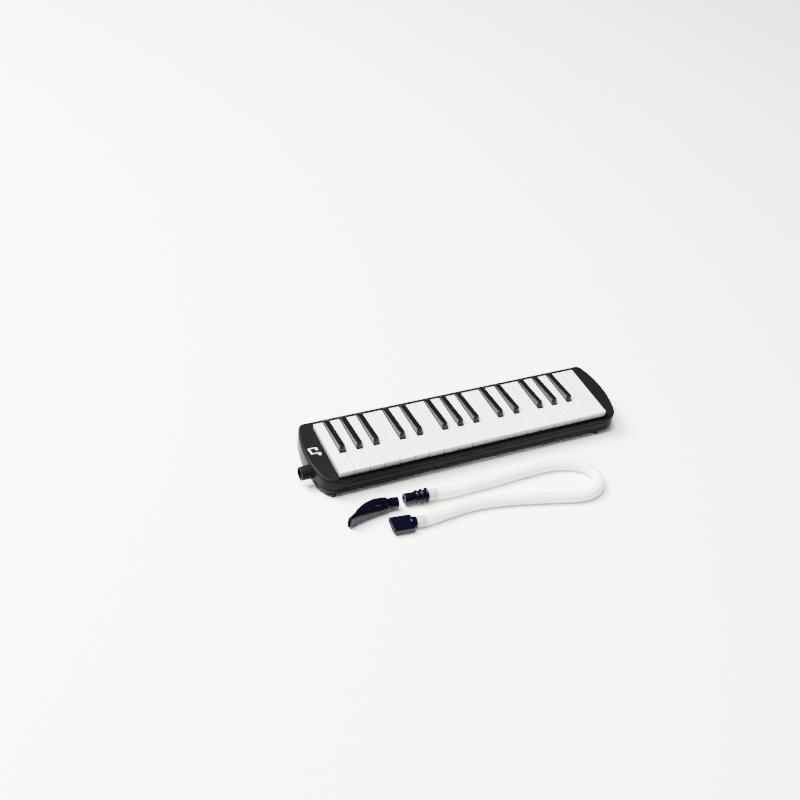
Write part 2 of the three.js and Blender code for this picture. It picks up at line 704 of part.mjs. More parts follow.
// A rounded ring across the middle line: half high and half wide, pointed for a flat slot.
function mouthRing(share, high, wide, count = 16) {
  const at = mouthLine.getPointAt(share);
  const along = mouthLine.getTangentAt(share);
  const across = new Vector3(-along.y, along.x, 0);
  return Array.from({ length: count }, (_, i) => {
    const angle = 2 * Math.PI * i / count;
    const up = new Vector3(0, 0, high * Math.sin(angle));
    return at.clone().addScaledVector(across, wide * Math.cos(angle)).add(up);
  });
}

function mouthpiece() {
  const length = mouthLine.getLength();
  const step = spigotLength / length;
  const lip = 1 / length;
  const grooveShare = 3 / length;
  const body = spigotRadius + 1.1;
  const outer = toSolid(loft([
    mouthRing(0, spigotRadius - 0.5, spigotRadius - 0.5),
    mouthRing(lip, spigotRadius, spigotRadius),
    mouthRing(step - grooveShare, spigotRadius, spigotRadius),
    mouthRing(step - grooveShare + lip / 2, spigotRadius - 0.6, spigotRadius - 0.6),
    mouthRing(step, spigotRadius - 0.6, spigotRadius - 0.6),
    mouthRing(step + lip / 2, body, body),
    mouthRing(0.4, mouthBodyRadius, mouthBodyRadius * 0.95),
    mouthRing(0.55, mouthBodyRadius, mouthBodyRadius * 0.9),
    mouthRing(0.7, mouthBodyRadius * 0.93, mouthBodyRadius * 0.75),
    mouthRing(0.85, mouthSlot / 2 + mouthWall / 2, mouthTipThickness * 0.7),
    mouthRing(1, mouthSlot / 2 + mouthWall / 2, mouthTipThickness / 2),
  ]));
  const end = (share, by) => mouthLine.getTangentAt(share).multiplyScalar(by);
  const air = spigotRadius - mouthWall - 0.6;
  const slotHigh = mouthSlot / 2 - mouthWall / 2;
  const slotWide = mouthTipThickness / 2 - mouthWall;
  const inner = toSolid(loft([
    mouthRing(0, air, air).map((p) => p.add(end(0, -through))),
    mouthRing(0.25, air, air),
    mouthRing(0.55, air + mouthWall, air),
    mouthRing(0.8, slotHigh, slotWide + mouthWall / 2),
    mouthRing(1, slotHigh, slotWide).map((p) => p.add(end(1, through))),
  ]));
  return cut(outer, inner);
}
add('mouthpiece', mouthpiece(), fittingBlack);

// ---------------------------------------------------------------- ribbed hose connector
// A fitting's own axis is +X, from its free end to the hose.
function fitting(x, y, z, heading) {
  const group = new THREE.Group();
  group.position.set(x, y, z);
  group.rotation.z = heading * Math.PI / 180;
  melodica.add(group);
  return group;
}
const turnedX = (profile, sides) => turned(profile, sides).rotateY(Math.PI / 2);

function ribbedConnector() {
  const root = spigotRadius + ribRoot;
  const profile = [[connectorBore, 0], [spigotRadius - 0.5, 0], [spigotRadius, 1],
    [spigotRadius, spigotLength]];
  for (let i = 0; i < ribCount; i++) {
    const start = spigotLength + ribRound + i * ribPitch;
    const crest = ribRadius - (ribCount - 1 - i) * ribTaper;
    profile.push([root, start], [crest - ribRound, start + ribWidth * 0.2], [crest, start + ribWidth / 2],
      [crest - ribRound, start + ribWidth * 0.8], [root, start + ribWidth]);
  }
  const length = spigotLength + ribRound + (ribCount - 1) * ribPitch + ribWidth + ribEnd;
  profile.push([root, length], [connectorBore, length], [connectorBore, 0]);
  return { shape: toSolid(turnedX(profile, 16)), length };
}
const connector = ribbedConnector();
const connectorPlace = fitting(-110.9, -77.2, ground + ribRadius, -5.3);
add('ribbed_hose_connector', connector.shape, fittingBlack, connectorPlace);

// ---------------------------------------------------------------- flat mouth end of the hose
function hoseMouthEnd() {
  const half = flatWidth / 2;
  const thick = flatThickness / 2;
  const corner = 2;
  const quarter = [[half, thick - corner], [half - corner, thick]];
  const outline = [...quarter, ...quarter.map(([y, z]) => [-y, z]).reverse(),
    ...quarter.map(([y, z]) => [-y, -z]), ...quarter.map(([y, z]) => [y, -z]).reverse()];
  const ring = (x, inset) => outline.map(([y, z]) => (
    new Vector3(x, y * (1 - inset / half), z * (1 - inset / thick))));
  const slab = toSolid(loft([ring(0, 0.4), ring(1, 0), ring(flatLength - 2, 0), ring(flatLength, 1)]));
  const slotEnd = flatLength - collarLead + flatWall;
  const slot = toSolid(loft([ring(-through, flatWall), ring(slotEnd, flatWall)]));
  const collar = barX(collarRadius, [flatLength - collarLead, flatLength + collarLength], 0, 0, 20);
  const bore = barX(connectorBore - flatWall,
    [flatLength - collarLead, flatLength + collarLength + through], 0, 0, 12);
  return cut(join(slab, collar), slot, bore);
}
const mouthEndPlace = fitting(-139.5, -107.7, ground + collarRadius, -6.3);
add('hose_mouth_end', hoseMouthEnd(), fittingBlack, mouthEndPlace);

// ---------------------------------------------------------------- hose
// Its middle line, from the ribbed connector round one wide loop and back to the flat mouth end.
// It rests on the surface, and only its two ends rise to the axes of the fittings.
melodica.updateMatrixWorld(true);
const straight = hoseRadius;         // the hose leaves each fitting along the fitting's own axis
const onAxis = (place, x) => place.localToWorld(new Vector3(x, 0, 0));
const hoseStart = [0, straight].map((x) => onAxis(connectorPlace, connector.length + gap + x));
const hoseEnd = [straight, 0].map((x) => onAxis(mouthEndPlace, flatLength + collarLength + gap + x));
const lying = ground + hoseRadius + 0.05;
const hoseRoute = [
  [-64.6, -81.3, lying + 1.2], [-52.9, -81.5], [-39.1, -81.5], [-17.6, -81.3], [9.8, -80.8],
  [39.1, -79.6], [65.6, -79.3], [82.2, -80.3], [95.9, -83.2], [107.7, -87.7], [116.5, -93.7],
  [122.6, -101.6], [124.9, -110.9], [122.5, -120.2], [116.3, -127.8], [107, -132.6],
  [95.9, -134.1], [82.2, -132.5], [64.6, -127.6], [41.1, -121.6], [17.6, -115.9], [-5.9, -111],
  [-23.5, -108.5], [-42.1, -107.5], [-56.8, -107.9], [-70.5, -108.9], [-86.1, -110.5],
].map(([x, y, z = lying]) => new Vector3(x, y, z));
const hoseLine = new THREE.CatmullRomCurve3([...hoseStart, ...hoseRoute, ...hoseEnd], false, 'centripetal');
add('hose', toSolid(new THREE.ExtrudeGeometry(sectionOf(hoseRadius, hoseSides),
  { extrudePath: hoseLine, steps: hoseSteps, bevelEnabled: false })), milkyHose);

export default melodica;
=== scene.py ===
# %% [markdown]
# # A melodica in Blender
# This lesson builds the visible surfaces of a 32-key melodica, with its mouthpiece and its blowing hose.
# The working model, with its sizes and joints, is already made. It is loaded here as a fixed frame, and
# every surface below takes its place from it. All lengths are in metres, and +Z is up.

# %% Load the frame
import json
import bmesh
import bpy
import numpy as np
from mathutils import Matrix, Vector

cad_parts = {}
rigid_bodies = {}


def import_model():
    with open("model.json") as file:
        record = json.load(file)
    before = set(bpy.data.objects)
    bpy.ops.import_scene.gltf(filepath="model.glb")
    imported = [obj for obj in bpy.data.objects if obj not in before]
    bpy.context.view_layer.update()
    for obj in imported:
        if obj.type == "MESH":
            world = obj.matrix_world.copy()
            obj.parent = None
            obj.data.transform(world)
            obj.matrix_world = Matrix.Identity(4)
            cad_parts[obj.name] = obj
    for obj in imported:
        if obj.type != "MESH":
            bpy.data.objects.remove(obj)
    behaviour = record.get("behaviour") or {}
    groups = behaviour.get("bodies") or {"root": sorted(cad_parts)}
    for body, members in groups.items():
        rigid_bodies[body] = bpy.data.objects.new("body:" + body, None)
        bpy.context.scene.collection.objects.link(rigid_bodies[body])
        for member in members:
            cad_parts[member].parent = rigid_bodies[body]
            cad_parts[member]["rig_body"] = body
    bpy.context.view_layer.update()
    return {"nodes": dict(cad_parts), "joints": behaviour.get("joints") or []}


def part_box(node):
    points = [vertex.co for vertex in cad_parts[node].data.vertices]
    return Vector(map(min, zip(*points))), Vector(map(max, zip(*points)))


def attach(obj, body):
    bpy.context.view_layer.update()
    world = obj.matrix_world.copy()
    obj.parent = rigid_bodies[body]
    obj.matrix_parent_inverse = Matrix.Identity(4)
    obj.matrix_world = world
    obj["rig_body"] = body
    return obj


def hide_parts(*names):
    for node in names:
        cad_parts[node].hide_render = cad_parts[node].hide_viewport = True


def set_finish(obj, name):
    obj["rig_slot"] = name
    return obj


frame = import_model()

MM = 0.001

# %% [markdown]
# ## Sizes that come from the frame
# The lowest white key gives the left edge of the keyboard, and its neighbour gives the key pitch. Reading
# these from the frame keeps the picture and the working model in step.

# %% Measure the frame
KEY_GAP = 0.6 * MM
first_low, first_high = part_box("key_f3")
second_low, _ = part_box("key_g3")
_, last_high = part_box("key_c6")
pitch = second_low.x - first_low.x
key_front = first_low.y
key_rear = first_high.y
key_top = first_high.z
key_left = first_low.x - KEY_GAP / 2
key_right = last_high.x + KEY_GAP / 2
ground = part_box("foot_front_left")[0].z
print(f"pitch {pitch / MM:.2f} mm, keyboard {(key_right - key_left) / MM:.1f} mm,",
      f"floor at {ground / MM:.1f} mm")

# %% [markdown]
# ## The camera
# A camera looks along its own -Z. Its place is worked out from the point it looks at, a distance, an
# azimuth round the object and a height above it, and then it is rolled about its own axis.

# %% Camera
AZIMUTH = np.radians(-31.573)
ELEVATION = np.radians(41.050)
ROLL = np.radians(10.158)
DISTANCE = 71.8403 * pitch
LOOK_AT = Vector((key_left + 6.2012 * pitch, key_front + 4.9093 * pitch, key_top))

back = Vector((np.cos(ELEVATION) * np.sin(AZIMUTH), -np.cos(ELEVATION) * np.cos(AZIMUTH),
               np.sin(ELEVATION)))
level = (-back).cross(Vector((0, 0, 1))).normalized()
upward = level.cross(-back)
right = level * np.cos(ROLL) + upward * np.sin(ROLL)
above = -level * np.sin(ROLL) + upward * np.cos(ROLL)

lens = bpy.data.cameras.new("camera")
lens.lens = 50.47
lens.sensor_width = 36.0
lens.clip_end = 20
camera = bpy.data.objects.new("camera", lens)
camera.matrix_world = (Matrix.Translation(LOOK_AT + back * DISTANCE)
                       @ Matrix((right, above, back)).transposed().to_4x4())
bpy.context.scene.collection.objects.link(camera)
bpy.context.scene.camera = camera
print("camera at", [round(value, 3) for value in camera.matrix_world.translation])

# %% [markdown]
# ## The hose
# The blowing hose is a soft vinyl tube that lies on the floor in one long loop. A Bezier curve with
# automatic handles passes smoothly through a short list of points, and its bevel gives it thickness.
# The points are the hose's route, from the ribbed connector round the loop to the flat mouth end.

# %% Hose
HOSE_RADIUS = 6.35 * MM
lying = ground + HOSE_RADIUS + 0.05 * MM


def heading(degrees):
    """The unit vector in the floor plane that is turned by this angle from +X."""
    return np.array([np.cos(np.radians(degrees)), np.sin(np.radians(degrees)), 0.0])


RIB_RADIUS = 8.9 * MM
COLLAR_RADIUS = 6.8 * MM
TOUCHING = 0.3 * MM
connector_foot = np.array([-110.9 * MM, -77.2 * MM, ground + RIB_RADIUS])
connector_axis = heading(-5.3)
CONNECTOR_LENGTH = 28.6 * MM
mouth_end_foot = np.array([-139.5 * MM, -107.7 * MM, ground + COLLAR_RADIUS])
mouth_end_axis = heading(-6.3)
MOUTH_END_LENGTH = 28.5 * MM

hose_start = connector_foot + connector_axis * (CONNECTOR_LENGTH + TOUCHING)
hose_end = mouth_end_foot + mouth_end_axis * (MOUTH_END_LENGTH + TOUCHING)
hose_route = [
    hose_start, hose_start + connector_axis * HOSE_RADIUS,
    *[np.array([x * MM, y * MM, lying + rise * MM]) for x, y, rise in [
        (-64.6, -81.3, 1.2), (-52.9, -81.5, 0), (-39.1, -81.5, 0), (-17.6, -81.3, 0), (9.8, -80.8, 0),
        (39.1, -79.6, 0), (65.6, -79.3, 0), (82.2, -80.3, 0), (95.9, -83.2, 0), (107.7, -87.7, 0),
        (116.5, -93.7, 0), (122.6, -101.6, 0), (124.9, -110.9, 0), (122.5, -120.2, 0), (116.3, -127.8, 0),
        (107, -132.6, 0), (95.9, -134.1, 0), (82.2, -132.5, 0), (64.6, -127.6, 0), (41.1, -121.6, 0),
        (17.6, -115.9, 0), (-5.9, -111, 0), (-23.5, -108.5, 0), (-42.1, -107.5, 0), (-56.8, -107.9, 0),
        (-70.5, -108.9, 0), (-86.1, -110.5, 0)]],
    hose_end + mouth_end_axis * HOSE_RADIUS, hose_end,
]
hose_curve = bpy.data.curves.new("vinyl_hose", "CURVE")
hose_curve.dimensions = "3D"
hose_curve.resolution_u = 8
hose_curve.bevel_depth = HOSE_RADIUS
hose_curve.bevel_resolution = 10
hose_curve.use_fill_caps = True
spline = hose_curve.splines.new("BEZIER")
spline.bezier_points.add(len(hose_route) - 1)
spline.bezier_points.foreach_set("co", np.array(hose_route, dtype=np.float32).ravel())
for point in spline.bezier_points:
    point.handle_left_type = point.handle_right_type = "AUTO"
hose = bpy.data.objects.new("vinyl_hose", hose_curve)
bpy.context.scene.collection.objects.link(hose)
bpy.context.view_layer.update()
hose_length = spline.calc_length()
print(f"hose {hose_length / MM:.0f} mm long")

# %% [markdown]
# ## The stage
# A pale floor and large soft lights show glossy black plastic by what it reflects. The main light hangs
# behind the object and to its left, so that the shadow falls softly to the front and the top stays dark.

# %% Floor and lights
def area_light(name, place, aim, size, power):
    """A square area light at a place, turned so that it faces the point it is aimed at."""
    data = bpy.data.lights.new(name, "AREA")
    data.shape = "SQUARE"
    data.size = size
    data.energy = power
    lamp = bpy.data.objects.new(name, data)
    lamp.location = place
    lamp.rotation_euler = (Vector(aim) - Vector(place)).to_track_quat("-Z", "Y").to_euler()
    bpy.context.scene.collection.objects.link(lamp)
    return lamp


FLOOR_HALF = 6.0
floor_mesh = bpy.data.meshes.new("floor")
floor_corners = [(x * FLOOR_HALF, y * FLOOR_HALF, ground) for x, y in ((-1, -1), (1, -1), (1, 1), (-1, 1))]
floor_mesh.from_pydata(floor_corners, [], [(0, 1, 2, 3)])
floor = bpy.data.objects.new("floor", floor_mesh)
bpy.context.scene.collection.objects.link(floor)

area_light("main_light", (-1.5, 1.0, 2.0), (0, 0, 0), 1.0, 520)
area_light("top_light", (-0.9, 0.1, 2.8), (0, 0, 0), 1.4, 340)
area_light("front_light", (1.0, -1.6, 1.6), (0, -0.05, 0), 0.4, 8)
world = bpy.data.worlds.new("studio")
world.use_nodes = True
world.node_tree.nodes["Background"].inputs["Color"].default_value = (1, 1, 1, 1)
world.node_tree.nodes["Background"].inputs["Strength"].default_value = 0.12
bpy.context.scene.world = world
print("stage ready, with", len(bpy.data.lights), "lights")

# %% [markdown]
# ## Shader maths as expressions
# A material is a graph of nodes. Two small classes let it be written as ordinary sums. `Signal` wraps an
# output socket and turns + - * into Math nodes. `Finish` is one material, and its `node` method adds
# any other node: first its settings, then the values or links of its sockets.

# %% Signal and Finish
class Signal:
    """An output socket that can be used in a sum."""

    def __init__(self, tree, socket):
        self.tree, self.socket = tree, socket

    def math(self, operation, first, second):
        made = self.tree.nodes.new("ShaderNodeMath")
        made.operation = operation
        for entry, value in zip(made.inputs, (first, second)):
            feed(self.tree, entry, value)
        return Signal(self.tree, made.outputs[0])

    def __add__(self, other): return self.math("ADD", self, other)
    def __radd__(self, other): return self.math("ADD", other, self)
    def __sub__(self, other): return self.math("SUBTRACT", self, other)
    def __rsub__(self, other): return self.math("SUBTRACT", other, self)
    def __mul__(self, other): return self.math("MULTIPLY", self, other)
    def __rmul__(self, other): return self.math("MULTIPLY", other, self)
    def smaller(self, other): return self.math("MINIMUM", self, other)


def feed(tree, entry, value):
    """Gives an input socket a link or a plain value."""
    if isinstance(value, Signal):
        tree.links.new(value.socket, entry)
    else:
        entry.default_value = value


class Finish:
    """One procedural material, built round a Principled shader."""

    def __init__(self, name):
        self.material = bpy.data.materials.new(name)
        self.material.use_nodes = True
        self.tree = self.material.node_tree
        self.shader = self.tree.nodes["Principled BSDF"]
        self.place = self.node("ShaderNodeTexCoord", {}, {}, "Object")

    def node(self, kind, settings, sockets, output=0):
        made = self.tree.nodes.new(kind)
        for name, value in settings.items():
            setattr(made, name, value)
        for name, value in sockets.items():
            feed(self.tree, made.inputs[name], value)
        return Signal(self.tree, made.outputs[output])

    def noise(self, size, detail=2.0, stretch=(1, 1, 1)):
        """Cloudy noise with lumps of about this size in metres, drawn out along an axis by stretch."""
        where = self.node("ShaderNodeMapping", {}, {"Vector": self.place, "Scale": stretch})
        return self.node("ShaderNodeTexNoise", {}, {"Vector": where, "Scale": 1 / size, "Detail": detail})

    def step(self, value, low, high):
        """A soft step from 0 at low to 1 at high."""
        return self.node("ShaderNodeMapRange", {"interpolation_type": "SMOOTHSTEP"},
                         {"Value": value, "From Min": low, "From Max": high})

    def mix(self, share, first, second):
        """A colour between two colours."""
        return self.node("ShaderNodeMix", {"data_type": "RGBA"}, {0: share, 6: first, 7: second}, 2)

    def bump(self, height, distance):
        """A normal that is tilted by a height, where a height of one stands for this many metres."""
        return self.node("ShaderNodeBump", {}, {"Height": height, "Distance": distance, "Strength": 1.0})

    def surface(self, **sockets):
        for name, value in sockets.items():
            feed(self.tree, self.shader.inputs[name.replace("_", " ")], value)
        return self.material


def grey(value):
    """A colour with three equal parts."""
    return (value, value, value, 1)


print("shader helpers ready")

# %% [markdown]
# ## Moulded plastics
# The case is satin black plastic with the fine sparkle of an eroded mould. Three noises of different
# size do it: a broad one drifts the colour, a middle one drifts the gloss, and a fine one is the grain.
# The keys come from a polished mould, so they have no grain, only the slight waviness of thin plastic.

# %% Moulded plastic
def moulded(name, dark, light, roughness, grain, depth, shine):
    """Moulded plastic: colour between dark and light, gloss about roughness, grain in metres."""
    finish = Finish(name)
    drift = finish.noise(40 * MM)
    sheen = finish.noise(6 * MM, 4)
    specks = finish.noise(grain, 3)
    return finish.surface(
        Base_Color=finish.mix(drift * 0.6 + specks * 0.4, dark, light),
        Roughness=roughness + (sheen - 0.5) * 0.16,
        Specular_IOR_Level=shine,
        Normal=finish.bump(specks, depth))


case_plastic = moulded("satin_case_plastic", grey(0.0025), grey(0.0045), 0.36, 0.35 * MM, 0.012 * MM, 0.02)
base_plastic = moulded("gloss_base_plastic", grey(0.001), grey(0.002), 0.34, 0.5 * MM, 0.002 * MM, 0.012)
chest_plastic = moulded("inner_plastic", grey(0.01), grey(0.02), 0.55, 0.4 * MM, 0.03 * MM, 0.4)


def polished(name, dark, light, roughness, wave, coat, shine, skirt_shade_colour=None):
    """Polished plastic: a smooth colour, a clear gloss, and waviness with a height of wave metres. With a
    skirt colour given, the colour darkens below the keys' top edge towards it: painted shade on the key
    fronts and in the gaps."""
    finish = Finish(name)
    drift = finish.noise(60 * MM)
    colour = finish.mix(drift, dark, light)
    # Painted shade: below the keys' top edge the colour darkens towards the skirt colour, in place of the
    # shade on the key fronts and in the gaps between keys.
    if skirt_shade_colour:
        height = finish.node("ShaderNodeSeparateXYZ", {}, {"Vector": finish.place}, "Z")
        depth = finish.step(key_top - height, 0.3 * MM, 8 * MM)
        shade_near_edge = finish.step(key_top - height, 0.2 * MM, 0.8 * MM)
        colour = finish.mix(depth * 0.3 + shade_near_edge * 0.7, colour, skirt_shade_colour)
    wavy = finish.noise(9 * MM)
    smear = finish.noise(14 * MM, 5, (1, 0.35, 1))
    return finish.surface(
        Base_Color=colour,
        Roughness=roughness + (smear - 0.5) * 0.1,
        Coat_Weight=coat, Coat_Roughness=0.06, Specular_IOR_Level=shine,
        Normal=finish.bump(wavy, wave))


# The white keys' grey(0.1) is the painted shade colour that their fronts and sides darken towards below the
# top edge.
white_plastic = polished("white_key_plastic", grey(0.56), grey(0.61), 0.28, 0.03 * MM, 0.1, 0.4, grey(0.1))
black_plastic = polished("black_key_plastic", grey(0.001), grey(0.002), 0.22, 0.008 * MM, 0.0, 0.4)
fitting_plastic = polished("gloss_fitting_plastic", (0.0006, 0.0005, 0.002, 1), (0.0012, 0.0010, 0.004, 1),
                           0.16, 0.03 * MM, 0.0, 0.08)
print("plastics:", len(bpy.data.materials))

# %% [markdown]
# ## Metal, rubber, felt and ink
# Sheet metal keeps the lines of rolling, which are noise drawn out along X. Rubber and felt are matt,
# and differ by their grain: felt has long fibres, which are noise stretched three ways.

# %% Other finishes
def rolled_metal(name, colour, roughness):
    """Rolled metal: fine lines along X that change both gloss and height."""
    finish = Finish(name)
    lines = finish.noise(0.6 * MM, 4, (0.04, 1, 1))
    stain = finish.noise(12 * MM, 3)
    darker = tuple(0.7 * value for value in colour[:3]) + (1,)
    return finish.surface(Base_Color=finish.mix(stain, darker, colour), Metallic=1.0,
                          Roughness=roughness + (lines - 0.5) * 0.2, Normal=finish.bump(lines, 0.01 * MM))


def soft_matt(name, dark, light, grain, depth, stretch=(1, 1, 1)):
    """Matt rubber or felt: uneven colour and a deep fine grain."""
    finish = Finish(name)
    fibre = finish.noise(grain, 6, stretch)
    return finish.surface(Base_Color=finish.mix(fibre, dark, light), Roughness=0.75 + fibre * 0.2,
                          Specular_IOR_Level=0.1, Normal=finish.bump(fibre, depth))


steel = rolled_metal("plain_steel", (0.62, 0.63, 0.65, 1), 0.3)
brass = rolled_metal("reed_brass", (0.75, 0.56, 0.27, 1), 0.32)
rubber = soft_matt("black_rubber", grey(0.003), grey(0.008), 0.5 * MM, 0.03 * MM)
felt = soft_matt("black_felt", grey(0.006), grey(0.02), 0.8 * MM, 0.2 * MM, (0.3, 1, 2))
ink = polished("white_ink", grey(0.55), grey(0.62), 0.4, 0.01 * MM, 0.0, 0.3)

# %% [markdown]
# The hose is milky vinyl. At each end about ten millimetres of the fitting's grey-green spigot sits
# inside it and shows through, so the colour there follows the distance from the end of the hose.

# %% Milky vinyl
SPIGOT_SHOWS = 11 * MM


def milky_vinyl():
    """Vinyl whose colour steps from grey-green to milk with the distance to the nearer end of the hose."""
    finish = Finish("milky_vinyl")
    nearest = None
    for end in (hose_start, hose_end):
        far = finish.node("ShaderNodeVectorMath", {"operation": "DISTANCE"},
                          {0: finish.place, 1: tuple(end)}, "Value")
        nearest = far if nearest is None else nearest.smaller(far)
    clear = finish.step(nearest, SPIGOT_SHOWS, SPIGOT_SHOWS + 3 * MM)
    haze = finish.noise(18 * MM, 3)
    milk = finish.mix(haze, (0.72, 0.65, 0.58, 1), (0.80, 0.76, 0.71, 1))
    return finish.surface(
        Base_Color=finish.mix(clear, (0.30, 0.33, 0.27, 1), milk),
        Roughness=0.26 + haze * 0.1, Coat_Weight=0.3, Coat_Roughness=0.1,
        Subsurface_Weight=0.25, Subsurface_Radius=(0.006, 0.005, 0.004), Subsurface_Scale=1.0,
        Normal=finish.bump(finish.noise(3 * MM), 0.04 * MM))


hose_vinyl = milky_vinyl()
floor_finish = Finish("pale_floor")
floor_mesh.materials.append(floor_finish.surface(
    Base_Color=floor_finish.mix(floor_finish.noise(0.4), grey(0.9), grey(0.92)), Roughness=0.6))
hose_curve.materials.append(hose_vinyl)
print("finishes:", len(bpy.data.materials))

# %% [markdown]
# ## Outlines with round corners
# Most moulded parts start as a flat outline whose corners are rounded. Everything here is worked out for
# all corners at once. Moving an outline inwards gives the next ring of a wall, so a part is a stack of
# rings, one for each step of its edge profile.

# %% Rounded outlines
def rounded(corners, radii, steps=4, closed=True):
    """Replaces each corner by an arc. The arc starts and ends r / tan(half angle) from the corner, and its
    points turn evenly from one end to the other round a centre on the corner's bisector."""
    corners = np.asarray(corners, float)
    radii = np.broadcast_to(np.asarray(radii, float), len(corners)).copy()
    before = np.roll(corners, 1, axis=0) - corners
    after = np.roll(corners, -1, axis=0) - corners
    if not closed:
        before[0], after[-1] = -after[0], -before[-1]
        radii[[0, -1]] = 0
    before /= np.linalg.norm(before, axis=1, keepdims=True)
    after /= np.linalg.norm(after, axis=1, keepdims=True)
    turn = np.arccos(np.clip((before * after).sum(1), -1, 1))
    straight = turn > np.pi - 1e-6
    half = np.where(straight, np.pi / 4, turn / 2)
    radii[straight] = 0
    bisector = before + after
    bisector[straight] = before[straight]
    bisector /= np.linalg.norm(bisector, axis=1, keepdims=True)
    middle = corners + bisector * (radii / np.sin(half))[:, None]
    first = corners + before * (radii / np.tan(half))[:, None] - middle
    last = corners + after * (radii / np.tan(half))[:, None] - middle
    sweep = (np.pi - 2 * half)[:, None, None]
    share = np.linspace(0, 1, steps + 1)[None, :, None]
    arcs = (np.sin((1 - share) * sweep) * first[:, None]
            + np.sin(share * sweep) * last[:, None]) / np.sin(sweep)
    return (middle[:, None] + arcs).reshape(-1, 2)


def drawn_in(corners, distance):
    """Moves every side of an anticlockwise outline inwards by a distance. A corner moves along the sum of
    its two inward normals, divided by one plus their dot product."""
    corners = np.asarray(corners, float)
    along = np.roll(corners, -1, axis=0) - corners
    along /= np.linalg.norm(along, axis=1, keepdims=True)
    inward = np.stack([-along[:, 1], along[:, 0]], axis=1)
    previous = np.roll(inward, 1, axis=0)
    scale = distance / (1 + (inward * previous).sum(1, keepdims=True))
    return corners + (inward + previous) * scale


print("a unit square drawn in by 0.1:", drawn_in([(0, 0), (1, 0), (1, 1), (0, 1)], 0.1)[0])

# %% [markdown]
# ## From rings to a mesh
# A grid of points with rows and columns becomes quads by joining each point to its neighbours. Columns
# wrap round, and the first and last row are either closed by a flat face or joined to each other.

# %% Rings to mesh
def ring_faces(rows, columns, loop=False):
    """Quads between neighbouring rings of a grid, as index arrays, and end faces unless rows loop."""
    index = np.arange(rows * columns).reshape(rows, columns)
    upper = np.roll(index, -1, axis=0) if loop else index[1:]
    lower = index if loop else index[:-1]
    quads = np.stack([lower, np.roll(lower, -1, axis=1), np.roll(upper, -1, axis=1), upper], axis=-1)
    faces = quads.reshape(-1, 4).tolist()
    return faces if loop else faces + [index[0, ::-1].tolist(), index[-1].tolist()]


def make_piece(name, solids, material, body, slot, sharp=35.0, replaced=()):
    """Joins closed grids (points, loops) into one mesh object at the origin and gives it its finish."""
    points, faces, start = [], [], 0
    for grid, loop in solids:
        rows, columns = grid.shape[:2]
        points.append(grid.reshape(-1, 3))
        faces += [[start + i for i in face] for face in ring_faces(rows, columns, loop)]
        start += rows * columns
    mesh = bpy.data.meshes.new(name)
    mesh.from_pydata(np.concatenate(points).tolist(), [], faces)
    work = bmesh.new()
    work.from_mesh(mesh)
    bmesh.ops.remove_doubles(work, verts=work.verts, dist=1e-7)
    bmesh.ops.dissolve_degenerate(work, edges=work.edges, dist=1e-7)
    bmesh.ops.recalc_face_normals(work, faces=work.faces)
    work.to_mesh(mesh)
    work.free()
    mesh.polygons.foreach_set("use_smooth", np.ones(len(mesh.polygons), bool))
    mesh.set_sharp_from_angle(angle=np.radians(sharp))
    mesh.materials.append(material)
    made = bpy.data.objects.new(name, mesh)
    bpy.context.scene.collection.objects.link(made)
    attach(made, body)
    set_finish(made, slot)
    if replaced:
        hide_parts(*replaced)
    return made


def stack(outline, profile, lift=lambda flat, height: height):
    """Rings of outline(inset) at each (inset, height) of a profile, lifted by a function of place."""
    rings = []
    for inset, height in profile:
        flat = outline(inset)
        rings.append(np.column_stack([flat, np.broadcast_to(lift(flat, height), len(flat))]))
    return np.array(rings)


def turned(profile, foot, axis, sides=48):
    """A turned grid: each (radius, distance) of the profile swept round a level axis from foot."""
    profile = np.asarray(profile, float)
    angle = np.linspace(0, 2 * np.pi, sides, endpoint=False)
    axis = np.asarray(axis, float)
    side = np.cross(axis, (0, 0, 1.0)) if abs(axis[2]) < 0.9 else np.array([1.0, 0, 0])
    side /= np.linalg.norm(side)
    other = np.cross(axis, side)
    round_it = np.cos(angle)[:, None] * side + np.sin(angle)[:, None] * other
    return foot + profile[:, 1, None, None] * axis + profile[:, 0, None, None] * round_it


def bored(piece, cutters):
    """Cuts closed grids out of a piece with an exact Boolean, and keeps the result as its mesh."""
    tool = make_piece(piece.name + "_cutter", [(grid, False) for grid in cutters],
                      piece.data.materials[0], piece["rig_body"], piece["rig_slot"])
    cut = piece.modifiers.new("cut", "BOOLEAN")
    cut.operation, cut.solver, cut.object = "DIFFERENCE", "EXACT", tool
    bpy.context.view_layer.update()
    result = bpy.data.meshes.new_from_object(piece.evaluated_get(bpy.context.evaluated_depsgraph_get()))
    piece.modifiers.clear()
    piece.data = result
    bpy.data.objects.remove(tool)
    result.set_sharp_from_angle(angle=np.radians(35))
    return piece


def bar(radius, foot, axis, length, sides=48):
    """A plain round cutter."""
    return turned([(radius, 0), (radius, length)], np.asarray(foot, float), axis, sides)


print("mesh helpers ready")

# %% [markdown]
# ## The case outline
# Seen from above, each end of the case is a shallow arc that runs into a wide front corner and a small
# rear corner. Where two circles touch from inside, their centres are apart by the difference of their
# radii, which gives the corners' places.

# %% Case outline
case_low, case_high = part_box("upper_case")
case_half = case_high.x
case_front, case_back = case_low.y, case_high.y
END_RADIUS = 110 * MM
FRONT_CORNER = 18 * MM
REAR_CORNER = 9 * MM
well_half = key_right + KEY_GAP


def circle_part(centre, radius, start, stop, steps):
    """Points on a circle from one angle to another."""
    angle = np.linspace(start, stop, steps + 1)
    return np.column_stack([centre[0] + radius * np.cos(angle), centre[1] + radius * np.sin(angle)])


